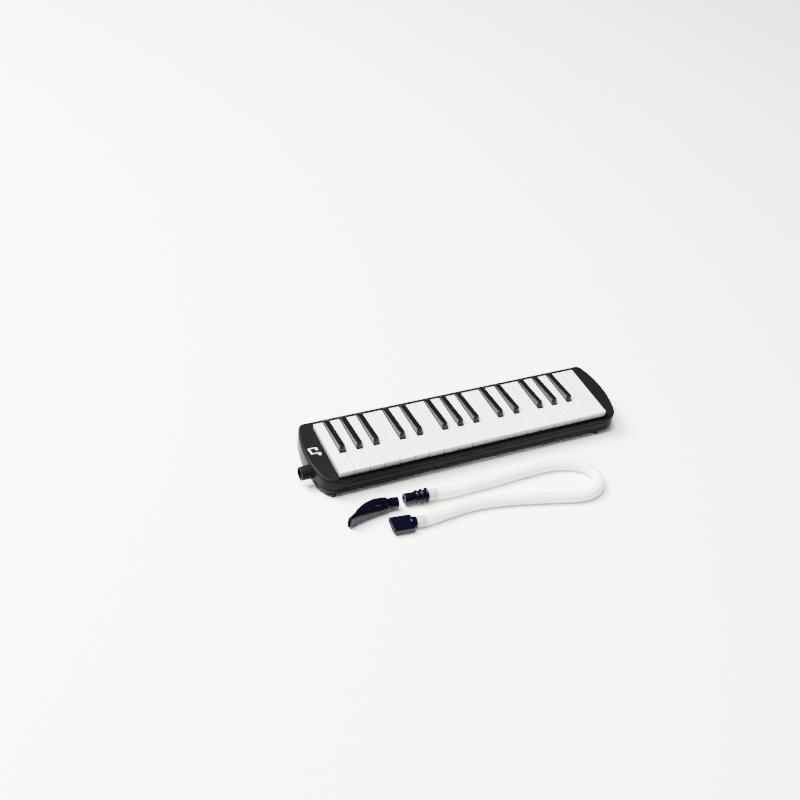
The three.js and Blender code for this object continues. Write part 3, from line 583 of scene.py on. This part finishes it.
def end_arc(inset):
    """The right end of the case from its front corner to its rear corner, drawn in by inset."""
    arc_x = case_half - END_RADIUS
    corners = []
    for radius, edge in ((FRONT_CORNER, case_front), (REAR_CORNER, case_back)):
        y = edge - np.sign(edge) * radius
        x = arc_x + np.sqrt((END_RADIUS - radius) ** 2 - y ** 2)
        corners.append((np.array([x, y]), radius - inset, np.arctan2(y, x - arc_x)))
    (front, front_radius, low), (rear, rear_radius, high) = corners
    return np.concatenate([
        circle_part(front, front_radius, -np.pi / 2, low, 14),
        circle_part((arc_x, 0), END_RADIUS - inset, low, high, 22)[1:-1],
        circle_part(rear, rear_radius, high, np.pi / 2, 12)])


def case_outline(inset):
    """The whole outline, anticlockwise: the right end and its mirror image."""
    right_end = end_arc(inset)
    return np.concatenate([right_end, (right_end * (-1, 1))[::-1]])


print("outline points:", len(case_outline(0)))

# %% [markdown]
# ## The lower case
# The lower case is a shallow tray. Its wall draws in a little towards the base, the base edge is rounded,
# and a narrow upright rim at the top catches the light. The profile below is one line: from the middle
# of the base, out round its edge, up the wall, over the rim and back down inside.

# %% Lower case
BASE_INSET = 1.9 * MM
CASE_WALL = 2.2 * MM
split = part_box("upper_case")[0].z - TOUCHING
RIM = 1.2 * MM
inside = BASE_INSET + CASE_WALL
tray_profile = rounded(
    [(inside + 3 * MM, 0), (BASE_INSET, 0), (BASE_INSET * 0.05, split - RIM), (0, split),
     (CASE_WALL, split), (CASE_WALL, split - RIM), (inside, CASE_WALL), (inside + 3 * MM, CASE_WALL)],
    [0, 1.3 * MM, 0.3 * MM, 0.35 * MM, 0.35 * MM, 0.3 * MM, 1 * MM, 0], 5, closed=False)
lower_case = make_piece("lower_case_tray", [(stack(case_outline, tray_profile), False)],
                        base_plastic, "case", "case", replaced=["lower_case"])

corner_names = ("front_left", "front_right", "rear_left", "rear_right")
UP = (0, 0, 1.0)


def middle_of(node):
    """The middle of a node's box: half the sum of its low and high corners."""
    low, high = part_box(node)
    return np.array((low + high) / 2)


FOOT_RECESS = 3.9 * MM
SCREW_RECESS = 3.2 * MM
recesses = []
for corner in corner_names:
    foot_x, foot_y, _ = middle_of(f"foot_{corner}")
    screw_x, screw_y, _ = middle_of(f"case_screw_{corner}")
    recesses.append(bar(FOOT_RECESS, (foot_x, foot_y, -1 * MM), UP, 1.8 * MM))
    recesses.append(bar(SCREW_RECESS, (screw_x, screw_y, -1 * MM), UP, 4 * MM))
bored(lower_case, recesses)
print("lower case faces:", len(lower_case.data.polygons))

# %% [markdown]
# ## The upper case
# The upper case frames the keyboard. Each end is a hollow cap whose top slopes up to the rear and has a
# broad rounded edge. A low rail with a groove runs along the front, and a tall one along the rear. The
# caps are stacks of rings, and the rails are one section carried straight along X.

# %% End caps
TOP_FRONT = 22.5 * MM
TOP_REAR = 28.0 * MM
TOP_ROUND = 3.2 * MM
WELL_ROUND = 0.9 * MM
STRAIGHT_WALL = 2 * MM
upper_bottom = split + TOUCHING


def top_plane(y):
    """Height of the sloping top at a distance y from the front."""
    return TOP_FRONT + (y - case_front) / (case_back - case_front) * (TOP_REAR - TOP_FRONT)


def cap_outline(side):
    """The outline function of the right cap for side 1, and of its mirror image for side -1."""
    def outline(inset):
        """An end arc closed by a straight side next to the keys, which draws in less."""
        arc = end_arc(inset)
        x = well_half + min(inset, WELL_ROUND) + max(0, inset - TOP_ROUND)
        closing = np.array([[x, case_back - inset], [x, case_front + inset]])
        points = np.concatenate([arc, closing])
        return points if side > 0 else (points * (-1, 1))[::-1]
    return outline


def follow_slope(flat, height):
    """Lifts the upper part of a wall so that its top lies in the sloping plane."""
    start = upper_bottom + STRAIGHT_WALL
    share = np.clip((height - start) / (TOP_FRONT - TOP_ROUND - start), 0, 1)
    return height + share * (top_plane(flat[:, 1]) - TOP_FRONT)


cap_profile = rounded(
    [(TOP_ROUND + 0.6 * MM, TOP_FRONT), (0, TOP_FRONT), (0, upper_bottom), (CASE_WALL, upper_bottom),
     (CASE_WALL, TOP_FRONT - 2.4 * MM), (CASE_WALL + 1.5 * MM, TOP_FRONT - 2.4 * MM)],
    [0, TOP_ROUND, 0.3 * MM, 0.3 * MM, 0.6 * MM, 0], 9, closed=False)
caps = {side: make_piece(f"end_cap_{name}", [(stack(cap_outline(side), cap_profile, follow_slope), False)],
                         case_plastic, "case", "case")
        for side, name in ((-1, "bass"), (1, "treble"))}
print("cap faces:", len(caps[-1].data.polygons))

# %% [markdown]
# The bass cap has a hole for the neck of the blowing tube, and the treble cap one for the button of the
# water valve. Both are cut with a round bar.

# %% Holes in the caps
inlet_low, inlet_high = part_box("inlet_tube")
inlet_y, inlet_z = (inlet_low.y + inlet_high.y) / 2, (inlet_low.z + inlet_high.z) / 2
button_low, button_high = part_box("drain_button")
button_y, button_z = (button_low.y + button_high.y) / 2, (button_low.z + button_high.z) / 2
NECK_HOLE = 5.9 * MM
BUTTON_HOLE = 3.8 * MM
CUTTER_STARTS = 5 * MM
bored(caps[-1], [bar(NECK_HOLE, (-case_half - CUTTER_STARTS, inlet_y, inlet_z), (1, 0, 0), 14 * MM)])
for piece in (caps[1], lower_case):
    bored(piece, [bar(BUTTON_HOLE, (case_half + CUTTER_STARTS, button_y, button_z), (-1, 0, 0), 12 * MM)])
print("holes cut at", round(inlet_z / MM, 1), "and", round(button_z / MM, 1), "mm")

# %% [markdown]
# The rails are drawn as sections in Y and Z with small round edges, and end just inside the caps.

# %% Rails
RAIL_TOP = 20.1 * MM
GROOVE = (16.1 * MM, 17.1 * MM)
GROOVE_DEPTH = 0.7 * MM
LIP = 2.4 * MM
well_front = key_front - KEY_GAP
well_back = key_rear + KEY_GAP


def rail(corners, radii):
    """A section in Y and Z carried along X from cap to cap."""
    section = rounded(corners, radii, 5)
    reach = well_half + TOUCHING
    ends = [np.column_stack([np.full(len(section), x), section]) for x in (-reach, reach)]
    return np.array(ends), False


GROOVE_EDGE = 0.15 * MM
rail_inside = case_front + CASE_WALL
groove_floor = case_front + GROOVE_DEPTH
front_rail = rail(
    [(case_front, upper_bottom), (rail_inside, upper_bottom), (rail_inside, RAIL_TOP - LIP),
     (well_front, RAIL_TOP - LIP), (well_front, RAIL_TOP), (case_front, RAIL_TOP), (case_front, GROOVE[1]),
     (groove_floor, GROOVE[1]), (groove_floor, GROOVE[0]), (case_front, GROOVE[0])],
    [0.3 * MM, 0.3 * MM, 0.4 * MM, 0.3 * MM, 0.4 * MM, 0.9 * MM, *[GROOVE_EDGE] * 4])
LIP_WALL = 1.8 * MM
lip_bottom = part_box("valve_plate")[0].z + 1.9 * MM
lip_back = well_back + LIP_WALL
lip_roof = top_plane(well_back) - LIP
rear_rail = rail(
    [(case_back, upper_bottom), (case_back, top_plane(case_back)), (well_back, top_plane(well_back)),
     (well_back, lip_bottom), (lip_back, lip_bottom), (lip_back, lip_roof),
     (case_back - CASE_WALL, lip_roof), (case_back - CASE_WALL, upper_bottom)],
    [0.3 * MM, TOP_ROUND, WELL_ROUND, 0.3 * MM, 0.3 * MM, 0.5 * MM, 0.5 * MM, 0.3 * MM])
rails = make_piece("case_rails", [front_rail, rear_rail], case_plastic, "case", "case",
                   replaced=["upper_case"])
print("rail faces:", len(rails.data.polygons))

# %% [markdown]
# ## The white keys
# A white key is a thin hollow box whose outline steps in beside the black keys. The notches come from the
# black keys' own places plus the running gap. The profile goes from the top, round its edge, down the
# skirt and back up inside, so the key is as hollow as the real one. Its lever is a thin web on the
# pivot rod with a pad that shuts the valve.

# %% Key levers
WHITE_HEIGHT = 7.8 * MM
KEY_WALL = 1.5 * MM
KEY_ROOF = 2.2 * MM
NOTCH_GAP = 1.2 * MM
skirt = key_top - WHITE_HEIGHT
pivot = next(joint["pos_m"] for joint in frame["joints"] if joint["name"] == "press_f3")
pivot_y, pivot_z = pivot[1], pivot[2]


def block(x, y, z, radius=0.3 * MM):
    """A box with round edges, as rings of a rounded rectangle."""
    def outline(inset):
        corners = drawn_in([(x[0], y[0]), (x[1], y[0]), (x[1], y[1]), (x[0], y[1])], inset)
        return rounded(corners, max(radius - inset, 0.02 * MM), 3)
    profile = rounded([(radius * 2, z[0]), (0, z[0]), (0, z[1]), (radius * 2, z[1])],
                      radius, 3, closed=False)
    return stack(outline, profile), False


WEB_HALF = 1.2 * MM
PAD_THICK = 1.2 * MM
PAD_HALF_WIDE = 3 * MM
PAD_HALF_LONG = 4.5 * MM
PAD_FROM_PIVOT = 16 * MM
EYE_BORE, EYE_RADIUS = 1.6 * MM, 2.35 * MM


def lever(x, node, roof):
    """The web, the pad and the pivot eye under a key."""
    pad_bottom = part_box(node)[0].z
    web_bottom = pad_bottom + PAD_THICK
    pad_y = pivot_y + PAD_FROM_PIVOT
    web = (x - WEB_HALF, x + WEB_HALF)
    eye = rounded([(EYE_BORE, 0), (EYE_RADIUS, 0), (EYE_RADIUS, 2 * WEB_HALF), (EYE_BORE, 2 * WEB_HALF)],
                  0.1 * MM, 2)
    return [
        block(web, (pivot_y + 1.8 * MM, key_rear - KEY_WALL / 2), (web_bottom, roof)),
        block(web, (pivot_y - 8.5 * MM, pivot_y + 1.9 * MM), (pivot_z + 2 * MM, roof)),
        block((x - PAD_HALF_WIDE, x + PAD_HALF_WIDE), (pad_y - PAD_HALF_LONG, pad_y + PAD_HALF_LONG),
              (pad_bottom, web_bottom + TOUCHING)),
        (turned(eye, np.array([x - WEB_HALF, pivot_y, pivot_z]), (1, 0, 0), 20), True)]


print("pivot at", round(pivot_y / MM, 2), round(pivot_z / MM, 2), "mm")

# %% [markdown]
# The keys' names already follow the notes, but the frame lists them in no order, so they are sorted from
# left to right. Then each white key finds the black keys beside it and makes room for them.

# %% White keys
names = sorted((node for node in frame["nodes"] if node.startswith("key_") and node[-1].isdigit()),
               key=lambda node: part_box(node)[0].x)
raised = [node for node in names if "sharp" in node]
level_keys = [node for node in names if "sharp" not in node]


def key_corners(node):
    """The corners of a white key, anticlockwise, with a notch beside each neighbouring black key."""
    low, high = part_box(node)
    place = names.index(node)
    left = names[place - 1] if place and names[place - 1] in raised else None
    after = names[place + 1] if place + 1 < len(names) and names[place + 1] in raised else None
    corners = [(low.x, low.y), (high.x, low.y)]
    rear = [low.x, high.x]
    if after:
        other_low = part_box(after)[0]
        rear[1] = other_low.x - KEY_GAP
        corners += [(high.x, other_low.y - NOTCH_GAP), (rear[1], other_low.y - NOTCH_GAP)]
    if left:
        rear[0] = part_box(left)[1].x + KEY_GAP
    corners += [(rear[1], high.y), (rear[0], high.y)]
    if left:
        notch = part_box(left)[0].y - NOTCH_GAP
        corners += [(rear[0], notch), (low.x, notch)]
    return corners, sum(rear) / 2


key_profile = rounded(
    [(1.2 * MM, key_top), (0, key_top), (0, skirt), (KEY_WALL, skirt), (KEY_WALL, key_top - KEY_ROOF),
     (KEY_WALL + 0.8 * MM, key_top - KEY_ROOF)],
    [0, 0.5 * MM, 0.3 * MM, 0.3 * MM, 0.4 * MM, 0], 5, closed=False)
for node in level_keys:
    corners, web_x = key_corners(node)

    def key_outline(inset):
        return rounded(drawn_in(corners, inset), max(0.5 * MM - inset, 0.05 * MM), 4)

    shell = (stack(key_outline, key_profile), False)
    make_piece(f"white_{node}", [shell, *lever(web_x, node, key_top - 1.1 * MM)],
               white_plastic, node, "white_key", replaced=[node])
print("white keys:", len(level_keys))

# %% [markdown]
# ## The black keys
# A black key stands above the white ones, tapers towards its top and has a nose that leans back. Its top
# falls slightly to the rear. Each ring is a rounded rectangle, and its width, front and height all
# follow one number that runs from the skirt to the top.

# %% Black keys
NOSE = 3.9 * MM
BLACK_FALL = 4.0 * MM
TAPER = 0.4 * MM
EDGE = 0.5 * MM


def black_rings(node):
    """Rings up the outside of a black key and down its inside. Above the white keys' top the front leans
    back, the sides taper and the height falls to the rear, all in proportion to the height reached."""
    low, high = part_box(node)
    rise = high.z - key_top
    rings = []
    outer = rounded([(0, skirt), (0, key_top + rise), (EDGE * 2, key_top + rise)], EDGE, 6, closed=False)
    ceiling = key_top + rise - KEY_ROOF
    inner = [(KEY_WALL, skirt), (KEY_WALL, ceiling), (KEY_WALL * 1.4, ceiling)]
    for inset, height in [*inner[::-1], *outer]:
        share = np.clip((height - key_top) / rise, 0, 1)
        wide = (high.x - low.x) / 2 - share * TAPER - inset
        x = (low.x + high.x) / 2
        front = low.y + share * NOSE + inset
        rear = high.y - inset
        flat = rounded([(x - wide, front), (x + wide, front), (x + wide, rear), (x - wide, rear)],
                       max(0.8 * MM - inset * 0.5, 0.3 * MM), 4)
        back_share = (flat[:, 1] - front) / (rear - front)
        rings.append(np.column_stack([flat, height - share * BLACK_FALL * back_share]))
    return np.array(rings)


for node in raised:
    middle = middle_of(node)[0]
    make_piece(f"black_{node}", [(black_rings(node), False), *lever(middle, node, key_top)],
               black_plastic, node, "black_key", replaced=[node])
print("black keys:", len(raised))

# %% [markdown]
# ## The blowing tube, the feet and the water valve's button
# These are turned parts: a profile of radius and distance, swept round an axis. Each profile is closed,
# so a bore needs no Boolean.

# %% Turned parts
SOCKET_RADIUS = 6.5 * MM
INLET_RADIUS = 8.1 * MM
neck_end = inlet_high.x - inlet_low.x
case_face = neck_end - (inlet_high.x + case_half)
shoulder = case_face + 2.5 * MM
NECK_RADIUS = 5.6 * MM
AIR_RADIUS = 4.0 * MM
SOCKET_DEPTH = 12.4 * MM
tube = rounded(
    [(SOCKET_RADIUS, 0), (INLET_RADIUS, 0), (INLET_RADIUS, shoulder), (NECK_RADIUS, shoulder),
     (NECK_RADIUS, neck_end), (AIR_RADIUS, neck_end), (AIR_RADIUS, SOCKET_DEPTH),
     (SOCKET_RADIUS, SOCKET_DEPTH)],
    [0.5 * MM, 0.7 * MM, 0.2 * MM, 0.2 * MM, 0.3 * MM, 0.3 * MM, 0.2 * MM, 0.2 * MM], 5)
tube_mouth = np.array([inlet_low.x, inlet_y, inlet_z])
make_piece("blowing_tube", [(turned(tube, tube_mouth, (1, 0, 0), 72), True)],
           case_plastic, "case", "case", replaced=["inlet_tube"])

NEAR_AXIS = 0.01 * MM
FOOT_TIP = 2.9 * MM
FOOT_STEM = 1.8 * MM
for corner in corner_names:
    low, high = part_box(f"foot_{corner}")
    radius = (high.x - low.x) / 2
    flange, tall = 0.5 * MM - low.z, high.z - low.z
    profile = rounded([(NEAR_AXIS, 0), (FOOT_TIP, 0), (radius, -low.z - 0.8 * MM), (radius, flange),
                       (FOOT_STEM, flange), (FOOT_STEM, tall), (NEAR_AXIS, tall)],
                      [0, 1.5 * MM, 0.4 * MM, 0.2 * MM, 0.1 * MM, 0.2 * MM, 0], 5, closed=False)
    place = np.array([(low.x + high.x) / 2, (low.y + high.y) / 2, low.z])
    make_piece(f"rubber_foot_{corner}", [(turned(profile, place, UP, 40), False)],
               rubber, "case", "rubber", replaced=[f"foot_{corner}"])

button_length = button_high.x - button_low.x
disc_start, disc_end = button_length - 12 * MM, button_length - 10.3 * MM
button = rounded(
    [(NEAR_AXIS, 0), (2.8 * MM, 0), (2.8 * MM, 1.2 * MM), (1.8 * MM, 1.2 * MM), (1.8 * MM, disc_start),
     (4.5 * MM, disc_start), (4.5 * MM, disc_end), (3.5 * MM, disc_end),
     (3.5 * MM, button_length - 0.4 * MM), (NEAR_AXIS, button_length)],
    [0, 0.3 * MM, 0.2 * MM, 0.2 * MM, 0.3 * MM, 0.3 * MM, 0.3 * MM, 0.2 * MM, 0.8 * MM, 0], 4, closed=False)
button_inner_end = np.array([button_low.x, button_y, button_z])
make_piece("water_valve_button", [(turned(button, button_inner_end, (1, 0, 0)), False)],
           black_plastic, "drain_valve", "black_key", replaced=["drain_button"])
print("blowing tube", round(neck_end / MM, 1), "mm long")

# %% [markdown]
# ## The mouthpiece
# The mouthpiece lies on its side. Its section changes along a bent middle line, from a round spigot to a
# tall narrow slot, so it is swept: at each place along the line, an oval stands across it. A smooth curve
# through a few points is a Catmull-Rom curve, whose knots are spaced by the square root of the distances.

# %% A smooth line
def smooth_line(points, share):
    """Places on a centripetal Catmull-Rom curve. Each stretch is blended from its four nearest points by
    repeated straight interpolation over the knots."""
    points = np.asarray(points, float)
    points = np.concatenate([[2 * points[0] - points[1]], points, [2 * points[-1] - points[-2]]])
    knots = np.concatenate([[0], np.cumsum(np.sqrt(np.linalg.norm(np.diff(points, axis=0), axis=1)))])
    dense = np.linspace(knots[1], knots[-2], 400)
    i = np.clip(np.searchsorted(knots, dense, "right") - 1, 1, len(points) - 3)

    def between(first, last, start, stop):
        part = ((dense - knots[i + start]) / (knots[i + stop] - knots[i + start]))[:, None]
        return first * (1 - part) + last * part

    steps = [between(points[i + j], points[i + j + 1], j, j + 1) for j in (-1, 0, 1)]
    steps = [between(steps[j], steps[j + 1], j - 1, j + 1) for j in (0, 1)]
    curve = between(steps[0], steps[1], 0, 1)
    run = np.concatenate([[0], np.cumsum(np.linalg.norm(np.diff(curve, axis=0), axis=1))])
    wanted = np.asarray(share) * run[-1]
    return np.column_stack([np.interp(wanted, run, curve[:, k]) for k in range(3)]), run[-1]


MOUTH_RADIUS = 9.4 * MM
mouth_points = [(x * MM, y * MM, ground + MOUTH_RADIUS) for x, y in [
    (-119, -79.9), (-130.4, -78.6), (-139, -78.4), (-148.3, -78.8), (-159.5, -81.6), (-171.7, -87),
    (-182.3, -91.7)]]
_, mouth_length = smooth_line(mouth_points, [0, 1])
print("mouthpiece", round(mouth_length / MM, 1), "mm along its middle line")

# %% [markdown]
# The sections are listed as stations along the line: the spigot with its groove, the bend, the lip, and
# then the bore on the way back, so that inside and outside are one closed skin.

# %% Mouthpiece
SPIGOT = 6.3 * MM
SPIGOT_LENGTH = 12.3 * MM
SPIGOT_GROOVE = 0.6 * MM


def squared_oval(wide, high, power, columns):
    """Distances across and up on ovals of these half widths and half heights. The cosine and sine of the
    angle are raised to a power, which squares the oval when it is below one."""
    angle = np.linspace(0, 2 * np.pi, columns, endpoint=False)
    cosine, sine = np.cos(angle), np.sin(angle)
    across = np.sign(cosine) * np.abs(cosine) ** power[:, None] * wide[:, None]
    up = np.sign(sine) * np.abs(sine) ** power[:, None] * high[:, None]
    return across[..., None], up[..., None]


def swept(points, stations, steps_round=48):
    """An oval of half height and half width, both smoothly interpolated between stations, stood across a
    middle line. A fourth number squares the oval."""
    stations = np.asarray(stations, float)
    share, high, wide, power = stations.T
    at, _ = smooth_line(points, share)
    ahead, _ = smooth_line(points, np.clip(share + 0.01, 0, 1))
    behind, _ = smooth_line(points, np.clip(share - 0.01, 0, 1))
    along = (ahead - behind) / np.linalg.norm(ahead - behind, axis=1, keepdims=True)
    across = np.stack([-along[:, 1], along[:, 0], 0 * along[:, 0]], axis=1)
    sideways, up = squared_oval(wide, high, power, steps_round)
    return at[:, None] + sideways * across[:, None] + up * np.array(UP)


def filled_in(stations, count):
    """Stations spread evenly between given ones, with each number eased by a cosine between neighbours."""
    stations = np.asarray(stations, float)
    share = np.linspace(stations[0, 0], stations[-1, 0], count)
    i = np.clip(np.searchsorted(stations[:, 0], share, "right") - 1, 0, len(stations) - 2)
    part = (share - stations[i, 0]) / (stations[i + 1, 0] - stations[i, 0])
    ease = (0.5 - 0.5 * np.cos(np.pi * part))[:, None]
    values = stations[i, 1:] * (1 - ease) + stations[i + 1, 1:] * ease
    return np.column_stack([share, values])


spigot_end = SPIGOT_LENGTH / mouth_length
unit = MM / mouth_length
groove = SPIGOT - SPIGOT_GROOVE
outer_start = [(share, radius, radius, 1) for share, radius in [
    (0, SPIGOT - 0.7 * MM), (0.35 * unit, SPIGOT - 0.15 * MM), (1.1 * unit, SPIGOT),
    (spigot_end - 3 * unit, SPIGOT), (spigot_end - 2.7 * unit, groove), (spigot_end, groove),
    (spigot_end + 0.2 * unit, SPIGOT + 0.7 * MM), (spigot_end + 0.9 * unit, SPIGOT + 1.15 * MM)]]
outer_body = filled_in([(spigot_end + 1.6 * unit, 8.0 * MM, 8.0 * MM, 1), (0.40, 9.3 * MM, 8.8 * MM, 1),
                        (0.55, 9.3 * MM, 8.3 * MM, 1), (0.70, 8.7 * MM, 6.8 * MM, 0.95),
                        (0.86, 8.1 * MM, 4.2 * MM, 0.85), (0.955, 8.0 * MM, 3.0 * MM, 0.75)], 30)
lip = [(0.965, 8.1 * MM, 3.1 * MM, 0.7), (0.985, 8.1 * MM, 3.1 * MM, 0.7), (0.995, 7.9 * MM, 2.9 * MM, 0.7),
       (1.0, 7.5 * MM, 2.5 * MM, 0.7)]
bore = filled_in([(0, 4.5 * MM, 4.5 * MM, 1), (0.3, 4.6 * MM, 4.5 * MM, 1), (0.55, 5.4 * MM, 4.4 * MM, 1),
                  (0.8, 6.6 * MM, 2.4 * MM, 0.85), (1.0, 6.9 * MM, 1.95 * MM, 0.7)], 26)[::-1]
mouthpiece = make_piece("bent_mouthpiece",
                        [(swept(mouth_points, np.concatenate([outer_start, outer_body, lip, bore])), True)],
                        fitting_plastic, "mouthpiece", "fitting", sharp=50, replaced=["mouthpiece"])
print("mouthpiece faces:", len(mouthpiece.data.polygons))

# %% [markdown]
# ## The hose's two fittings
# The connector has a plain spigot for the instrument and three thick ribs, which help the fingers to pull
# it out. Its ribs are humps of a raised cosine. The mouth end is a flat slab with a slot, and a round
# collar that takes the hose.

# %% Ribbed connector
ROOT = 6.7 * MM
RIB_START = SPIGOT_LENGTH + 0.7 * MM
RIB_PITCH = 5.9 * MM
RIB_WIDTH = 3.8 * MM
along_ribs = np.linspace(RIB_START - 0.2 * MM, CONNECTOR_LENGTH - 0.2 * MM, 90)
phase = (along_ribs - RIB_START) / RIB_PITCH
number = np.clip(np.floor(phase), 0, 2)
hump = np.clip((phase - number) * RIB_PITCH / RIB_WIDTH, 0, 1)
crest = RIB_RADIUS - (2 - number) * 0.4 * MM
rib_line = np.column_stack([ROOT + (crest - ROOT) * np.sin(np.pi * hump) ** 0.7, along_ribs])
BORE = 4.6 * MM
connector_profile = np.concatenate([
    [(BORE, 0.4 * MM), (BORE + 0.4 * MM, 0), (SPIGOT - 0.7 * MM, 0), (SPIGOT - 0.2 * MM, 0.2 * MM),
     (SPIGOT, 0.8 * MM), (SPIGOT, SPIGOT_LENGTH), (ROOT, SPIGOT_LENGTH + 0.1 * MM)], rib_line,
    [(ROOT, CONNECTOR_LENGTH), (BORE, CONNECTOR_LENGTH)]])
connector_grid = turned(connector_profile, connector_foot, connector_axis, 64)
connector = make_piece("ribbed_connector", [(connector_grid, True)],
                       fitting_plastic, "hose_set", "fitting", sharp=50, replaced=["ribbed_hose_connector"])
print("connector points:", len(connector_profile))

# %% [markdown]
# The mouth end's slab is a stack of nearly square ovals, which start inside the slot, come out round its
# edge, and close behind the collar.

# %% Flat mouth end
SLAB_HALF = 10.5 * MM
SLAB_THICK = 3.7 * MM
SLOT_WALL = 1.3 * MM


def squared_rings(stations, foot, axis, columns=64):
    """Rings across a level axis. Each station gives distance, half width, half height and a power that
    squares the oval."""
    distance, wide, high, power = np.asarray(stations, float).T
    side = np.array([-axis[1], axis[0], 0])
    sideways, up = squared_oval(wide, high, power, columns)
    return foot + distance[:, None, None] * axis + sideways * side + up * np.array(UP)


COLLAR_START = 20.2 * MM
COLLAR_BORE = 3.3 * MM
slot_wide, slot_high = SLAB_HALF - SLOT_WALL, SLAB_THICK - SLOT_WALL
slot = [(21, 7.0 * MM, 1.6 * MM, 0.4), (19.5, slot_wide, slot_high, 0.3), (0.0, slot_wide, slot_high, 0.3)]
slab = [(distance, SLAB_HALF - in_side * MM, SLAB_THICK - in_height * MM, power)
        for distance, in_side, in_height, power in [
            (0.0, 0.6, 0.6, 0.32), (0.15, 0.2, 0.2, 0.3), (0.5, 0, 0, 0.3), (1.2, 0, 0, 0.3),
            (22.5, 0, 0, 0.3), (24.2, 0.3, 0, 0.34), (25.3, 1.4, 0.3, 0.4), (25.9, 3.0, 1.0, 0.5),
            (26, 5.5, 1.1, 0.6)]]
slab_rings = squared_rings([(distance * MM, *rest) for distance, *rest in slot + slab],
                           mouth_end_foot, mouth_end_axis)
collar_profile = rounded(
    [(COLLAR_BORE, COLLAR_START), (COLLAR_RADIUS, COLLAR_START), (COLLAR_RADIUS, MOUTH_END_LENGTH),
     (COLLAR_BORE, MOUTH_END_LENGTH)],
    [0.1 * MM, 2.6 * MM, 0.6 * MM, 0.3 * MM], 8)
mouth_end = make_piece("flat_mouth_end", [
    (slab_rings, False), (turned(collar_profile, mouth_end_foot, mouth_end_axis, 64), True)],
    fitting_plastic, "hose_set", "fitting", sharp=50, replaced=["hose_mouth_end"])
print("mouth end faces:", len(mouth_end.data.polygons))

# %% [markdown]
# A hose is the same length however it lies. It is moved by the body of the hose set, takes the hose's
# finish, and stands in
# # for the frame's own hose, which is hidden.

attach(hose, "hose_set")
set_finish(hose, "hose")
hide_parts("hose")
print("declared", hose.name, "with its two fittings")

# %% [markdown]
# ## A printed mark
# A small white mark is printed on the bass cap. It is a pair of beamed quavers: two leaning ovals, two
# stems and a beam, each a thin slab of ink that follows the slope of the cap.

# %% Printed mark
MARK = np.array([-187.5 * MM, 0.5 * MM])
MARK_SCALE = 1.15
INK = 0.06 * MM


def ink_shape(outline):
    """A flat shape in the mark's own plane, raised by the ink's thickness above the sloping top. The mark's
    own right is +Y, so that it reads along the cap."""
    flat = np.asarray(outline, float) * MARK_SCALE
    placed = MARK + np.column_stack([-flat[:, 1], flat[:, 0]])
    top = top_plane(placed[:, 1])
    return np.array([np.column_stack([placed, top + rise]) for rise in (-0.02 * MM, INK)]), False


def note_head(x, y):
    """An oval that leans to the right by 20 degrees."""
    angle = np.linspace(0, 2 * np.pi, 32, endpoint=False)
    lean = np.radians(20)
    a, b = 1.9 * MM * np.cos(angle), 1.3 * MM * np.sin(angle)
    return np.column_stack([x + a * np.cos(lean) - b * np.sin(lean),
                            y + a * np.sin(lean) + b * np.cos(lean)])


stems = [[(x, y0), (x + 0.6 * MM, y0), (x + 0.6 * MM, y1), (x, y1)]
         for x, y0, y1 in ((-1.8 * MM, -4 * MM, 4 * MM), (5.0 * MM, -3 * MM, 5.2 * MM))]
beam = [(-1.8 * MM, 2.6 * MM), (5.6 * MM, 3.8 * MM), (5.6 * MM, 5.4 * MM), (-1.8 * MM, 4.2 * MM)]
mark = make_piece("printed_mark", [ink_shape(shape) for shape in (
    note_head(-3.0 * MM, -4 * MM), note_head(3.8 * MM, -3 * MM), *stems, beam)], ink, "case", "white_key")
print("mark faces:", len(mark.data.polygons))

# %% [markdown]
# ## The working parts inside
# The wind chest, reeds, springs and fasteners keep their own shapes from the frame, and only take the
# finish of what they are made of.

# %% Inner parts
inner_finishes = {
    "wind_chest": chest_plastic, "valve_plate": chest_plastic, "chest_gasket": rubber, "inlet_seal": rubber,
    "drain_seal": rubber, "reed_plate_low": brass, "reed_plate_high": brass, "key_spring_comb": steel,
    "key_pivot_rod": steel, "drain_spring": steel, "key_stop_felt": felt,
    **{f"case_screw_{corner}": steel for corner in corner_names}}
for node, finish in inner_finishes.items():
    mesh = frame["nodes"][node].data
    mesh.materials.clear()
    mesh.materials.append(finish)
print("inner parts:", len(inner_finishes))
